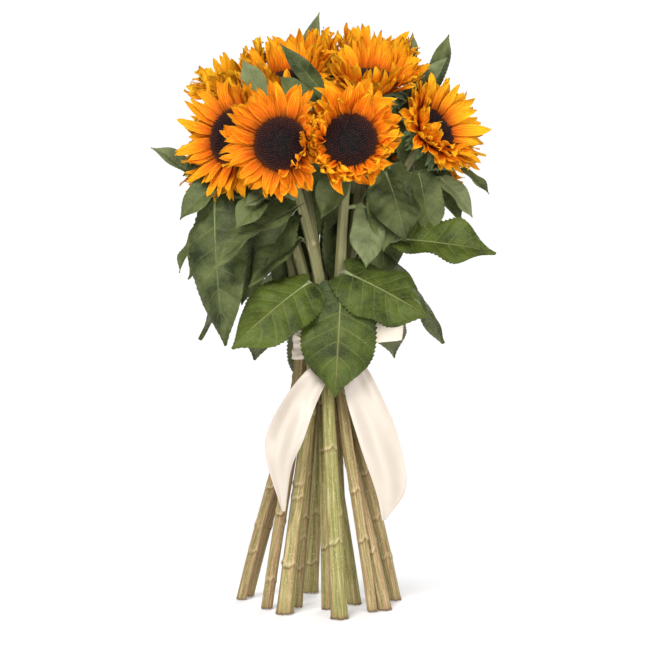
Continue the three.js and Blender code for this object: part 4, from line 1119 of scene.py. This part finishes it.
def add_petiole(body, leaf, radius):
    """The stalk from its joint on the stem, which runs on under the blade as its midrib."""
    joint = stem_at(FLOWERS[leaf.flower - 1], leaf.joint)
    base = np.array(leaf.base, float)
    turn = joint + (base - joint) * 0.55 + UP * np.linalg.norm(base - joint) * 0.12
    stalk = bezier([joint, turn, base], np.linspace(0, 1, 9))
    rib = bezier(leaf_midrib(leaf), np.array([0.05, 0.14, 0.3, 0.5]))
    radii = radius * np.array([1] * len(stalk) + [0.6, 0.35, 0.2, 0.1])
    rings, _ = tube_rings(np.vstack([stalk, rib]), radii, 8)
    body.grid(rings, slot=2, wrap=True)


def leaf_piece(name, leaf, size, seed, stalk_radius, lobe_reach, materials, *stands_for):
    """A blade that is closed on both faces, with its stalk."""
    rows, columns = size
    draw = np.random.default_rng(seed)
    line = bezier(leaf_midrib(leaf), np.linspace(0, 1, rows))
    points, normal, detail = blade_sheet(leaf, line, columns, draw, lobe_reach)
    under = points - normal * LEAF_THICKNESS
    body = Body()
    body.grid(points, detail)
    body.grid(under, detail, slot=1, flip=True)
    for column, flip in ((0, True), (-1, False)):
        rim = np.stack([points[:, column], under[:, column]], axis=1)
        body.grid(rim, detail[:, [column, column]], flip=flip)
    add_petiole(body, leaf, stalk_radius)
    make_piece(name, body, materials, "leaf", *stands_for)


def make_leaves(top, dark, pale, under, stalk):
    """Only the collar's leaves stand for solids of their own."""
    faces = {
        "blade": [top] * 4 + [dark] * 3 + [pale] + [top] * 6,
        "small_leaf": [dark, pale] * 9,
        "inner_leaf": [dark] * 17,
    }
    for kind, rows, *form in LEAF_KINDS:
        size, seed, stalk_radius, lobe_reach = form
        for i, row in enumerate(rows):
            looks = [faces[kind][i], under, stalk]
            solid = [numbered("leaf", i)] if kind == "blade" else []
            leaf_piece(
                numbered(kind, i), Leaf(*row), size, seed + i, stalk_radius, lobe_reach, looks, *solid
            )


# Ribbon


def band_piece(material):
    turn = full_turn(120)
    high = np.linspace(-1, 1, 25)[:, None]
    crease = 0.45 * np.sin(high * 9 + 1.3 * np.sin(turn * 2)) + 0.3 * np.sin(high * 15 - turn * 3)
    radius = BAND_RADIUS + 1.0 + BAND_FLARE * np.abs(high) + crease
    middle = TIE_HEIGHT + BAND_HALF_HEIGHT * high + 0.8 * np.sin(turn * 3)
    body = Body()
    body.grid(polar(radius, turn, middle), PAINTED_LIGHT_AT_TIE, wrap=True)
    piece = make_piece("satin_band", body, [material], "ribbon", "ribbon_band")


def loop_sheet(body, rows):
    out = [(x, y, z, half) for x, z, half, y, _ in rows]
    back = [(x, y, z, half) for x, z, half, _, y in rows[-2::-1]]
    line = smooth_rows(out + back, 72)
    middle, half = line[:, :3], line[:, 3:]
    along = unit(np.gradient(middle, axis=0))
    out = unit(np.cross(along, UP))
    v = np.linspace(-1, 1, 25)
    gather = np.clip((15 - half) / 9, 0, 1)
    fold = gather * 1.9 * np.cos(v * 8.5) + (1 - gather) * 0.8 * np.cos(v * 3.0 + 0.6)
    points = middle[:, None] + UP * (v * half)[..., None] + out[:, None] * fold[..., None]
    body.grid(points, PAINTED_LIGHT_AT_TIE)


def bow_piece(material):
    body = Body()
    loop_sheet(body, RIGHT_LOOP)
    loop_sheet(body, LEFT_LOOP)
    turn = full_turn(56)
    share = np.linspace(0, 1, 21)[:, None]
    swell = 0.72 + 0.28 * np.sin(np.pi * share) ** 0.35
    pleat = 0.5 * np.cos(share * 22 + 1.2 * np.sin(turn))
    x = KNOT_LEFT + (KNOT_RIGHT - KNOT_LEFT) * share
    y = KNOT_Y + (share - 0.5) * 1.6 + np.cos(turn) * (KNOT_DEEP * swell + pleat)
    z = KNOT_Z + np.sin(turn) * (KNOT_HIGH * swell + pleat)
    body.grid(spread(x, y, z), PAINTED_LIGHT_AT_TIE, wrap=True)
    piece = make_piece("satin_bow", body, [material], "ribbon", "ribbon_bow")


def tail_piece(name, rows, stands_for, seed, material):
    """A tail from its root at the knot to its slanting cut, with folds that run down it."""
    draw = np.random.default_rng(seed)
    line = smooth_rows([(y, *left, *right) for y, left, right in rows], TAIL_ROWS)
    left = spread(line[:, 1], line[:, 0], line[:, 2])[:, None]
    right = spread(line[:, 3], line[:, 0], line[:, 4])[:, None]
    v = np.linspace(0, 1, 21)
    t = np.linspace(0, 1, TAIL_ROWS)[:, None]
    points = left * (1 - v)[:, None] + right * v[:, None]
    calm = np.sin(np.pi * t) ** 0.6
    fold = calm * (3.4 * np.cos(v * 5.2 + t * 5 + draw.uniform(0, 2)) + 1.2 * np.cos(v * 10 - t * 7))
    root = (1 - t) ** 6 * 1.4 * np.cos(v * 16)
    points[..., 1] += -2.5 * calm + fold + root
    body = Body()
    body.grid(points)
    piece = make_piece(name, body, [material], "ribbon", stands_for)


# The scene round the bunch


def add_light(name, at, size, power):
    light = bpy.data.lights.new(name, "AREA")
    light.size = size
    light.energy = power
    lamp = new_object(name, light)
    lamp.location = at
    away = unit(np.array(at) - LAMP_TARGET)
    lamp.rotation_euler = (math.acos(away[2]), 0, math.atan2(away[0], -away[1]))


def add_camera():
    camera = bpy.data.cameras.new("camera")
    camera.lens = CAMERA_LENS
    camera.sensor_width = CAMERA_SENSOR
    eye = new_object("camera", camera)
    eye.location = (ORIGIN[0], ORIGIN[1] - CAMERA_DISTANCE, CAMERA_HEIGHT)
    eye.rotation_euler = (QUARTER_TURN, 0, 0)
    bpy.context.scene.camera = eye


def add_floor():
    ends = (-FLOOR_REACH, FLOOR_REACH)
    mesh = bpy.data.meshes.new("floor")
    mesh.from_pydata([(x, y, FLOOR_LEVEL) for y in ends for x in ends], [], [(0, 1, 3, 2)])
    mesh.materials.append(floor_material())
    new_object("floor", mesh)


def add_world():
    """A white world that the camera sees brighter than the bunch does."""
    world = bpy.data.worlds.new("studio")
    bpy.context.scene.world = world
    world.use_nodes = True
    tree = world.node_tree
    background = tree.nodes["Background"]
    background.inputs["Color"].default_value = (1, 1, 1, 1)
    path = tree.nodes.new("ShaderNodeLightPath")
    strength = tree.nodes.new("ShaderNodeMapRange")
    strength.inputs["To Min"].default_value = WORLD_LIGHT
    strength.inputs["To Max"].default_value = WORLD_SEEN
    tree.links.new(path.outputs["Is Camera Ray"], strength.inputs["Value"])
    tree.links.new(strength.outputs["Result"], background.inputs["Strength"])


def add_studio():
    add_camera()
    add_floor()
    add_world()
    for lamp in LAMPS:
        add_light(**lamp)
    bpy.context.scene.view_settings.view_transform = "Standard"
    bpy.context.scene.view_settings.look = "None"


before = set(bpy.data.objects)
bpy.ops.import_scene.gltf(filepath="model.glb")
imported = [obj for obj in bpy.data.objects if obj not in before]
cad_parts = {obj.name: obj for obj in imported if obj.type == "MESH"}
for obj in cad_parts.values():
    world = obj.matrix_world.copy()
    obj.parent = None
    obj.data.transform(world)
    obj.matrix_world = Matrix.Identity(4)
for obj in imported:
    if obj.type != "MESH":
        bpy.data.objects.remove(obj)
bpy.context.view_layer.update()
band_low, band_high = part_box("ribbon_band")
ORIGIN = np.array([(band_low.x + band_high.x) / 2, (band_low.y + band_high.y) / 2, 0.0])

petal_look = petal_material()
floret_look = floret_material()
stem_look = stem_material()
bract_look = green_material("bract_green", (0.03, 0.061, 0.013), (0.113, 0.174, 0.048))
balls = leaf_balls()
for number in range(len(FLOWERS)):
    make_stem(number, stem_look, bract_look)
    make_petals(number, petal_look, *balls)
    make_disc(number, floret_look)

# Each leaf face: its dark and fresh greens, its veins' colour and their strength.
leaf_looks = [
    leaf_material("leaf_top", (0.009, 0.018, 0.002), (0.065, 0.092, 0.012), (0.36, 0.35, 0.13), 0.8),
    leaf_material("leaf_dark", (0.010, 0.018, 0.005), (0.094, 0.116, 0.037), (0.27, 0.28, 0.12), 0.75),
    leaf_material("leaf_grey", (0.044, 0.059, 0.023), (0.152, 0.178, 0.074), (0.296, 0.313, 0.165), 0.7),
    leaf_material("leaf_under", (0.074, 0.091, 0.044), (0.174, 0.196, 0.1), (0.331, 0.339, 0.191), 0.8),
]
stalk_look = green_material("stalk_green", (0.087, 0.122, 0.03), (0.226, 0.261, 0.096))
make_leaves(*leaf_looks, stalk_look)

satin_look = satin_material()
band_piece(satin_look)
bow_piece(satin_look)
tail_piece("satin_tail_left", LEFT_TAIL, "ribbon_tail_left", 5, satin_look)
tail_piece("satin_tail_right", RIGHT_TAIL, "ribbon_tail_right", 8, satin_look)
add_studio()
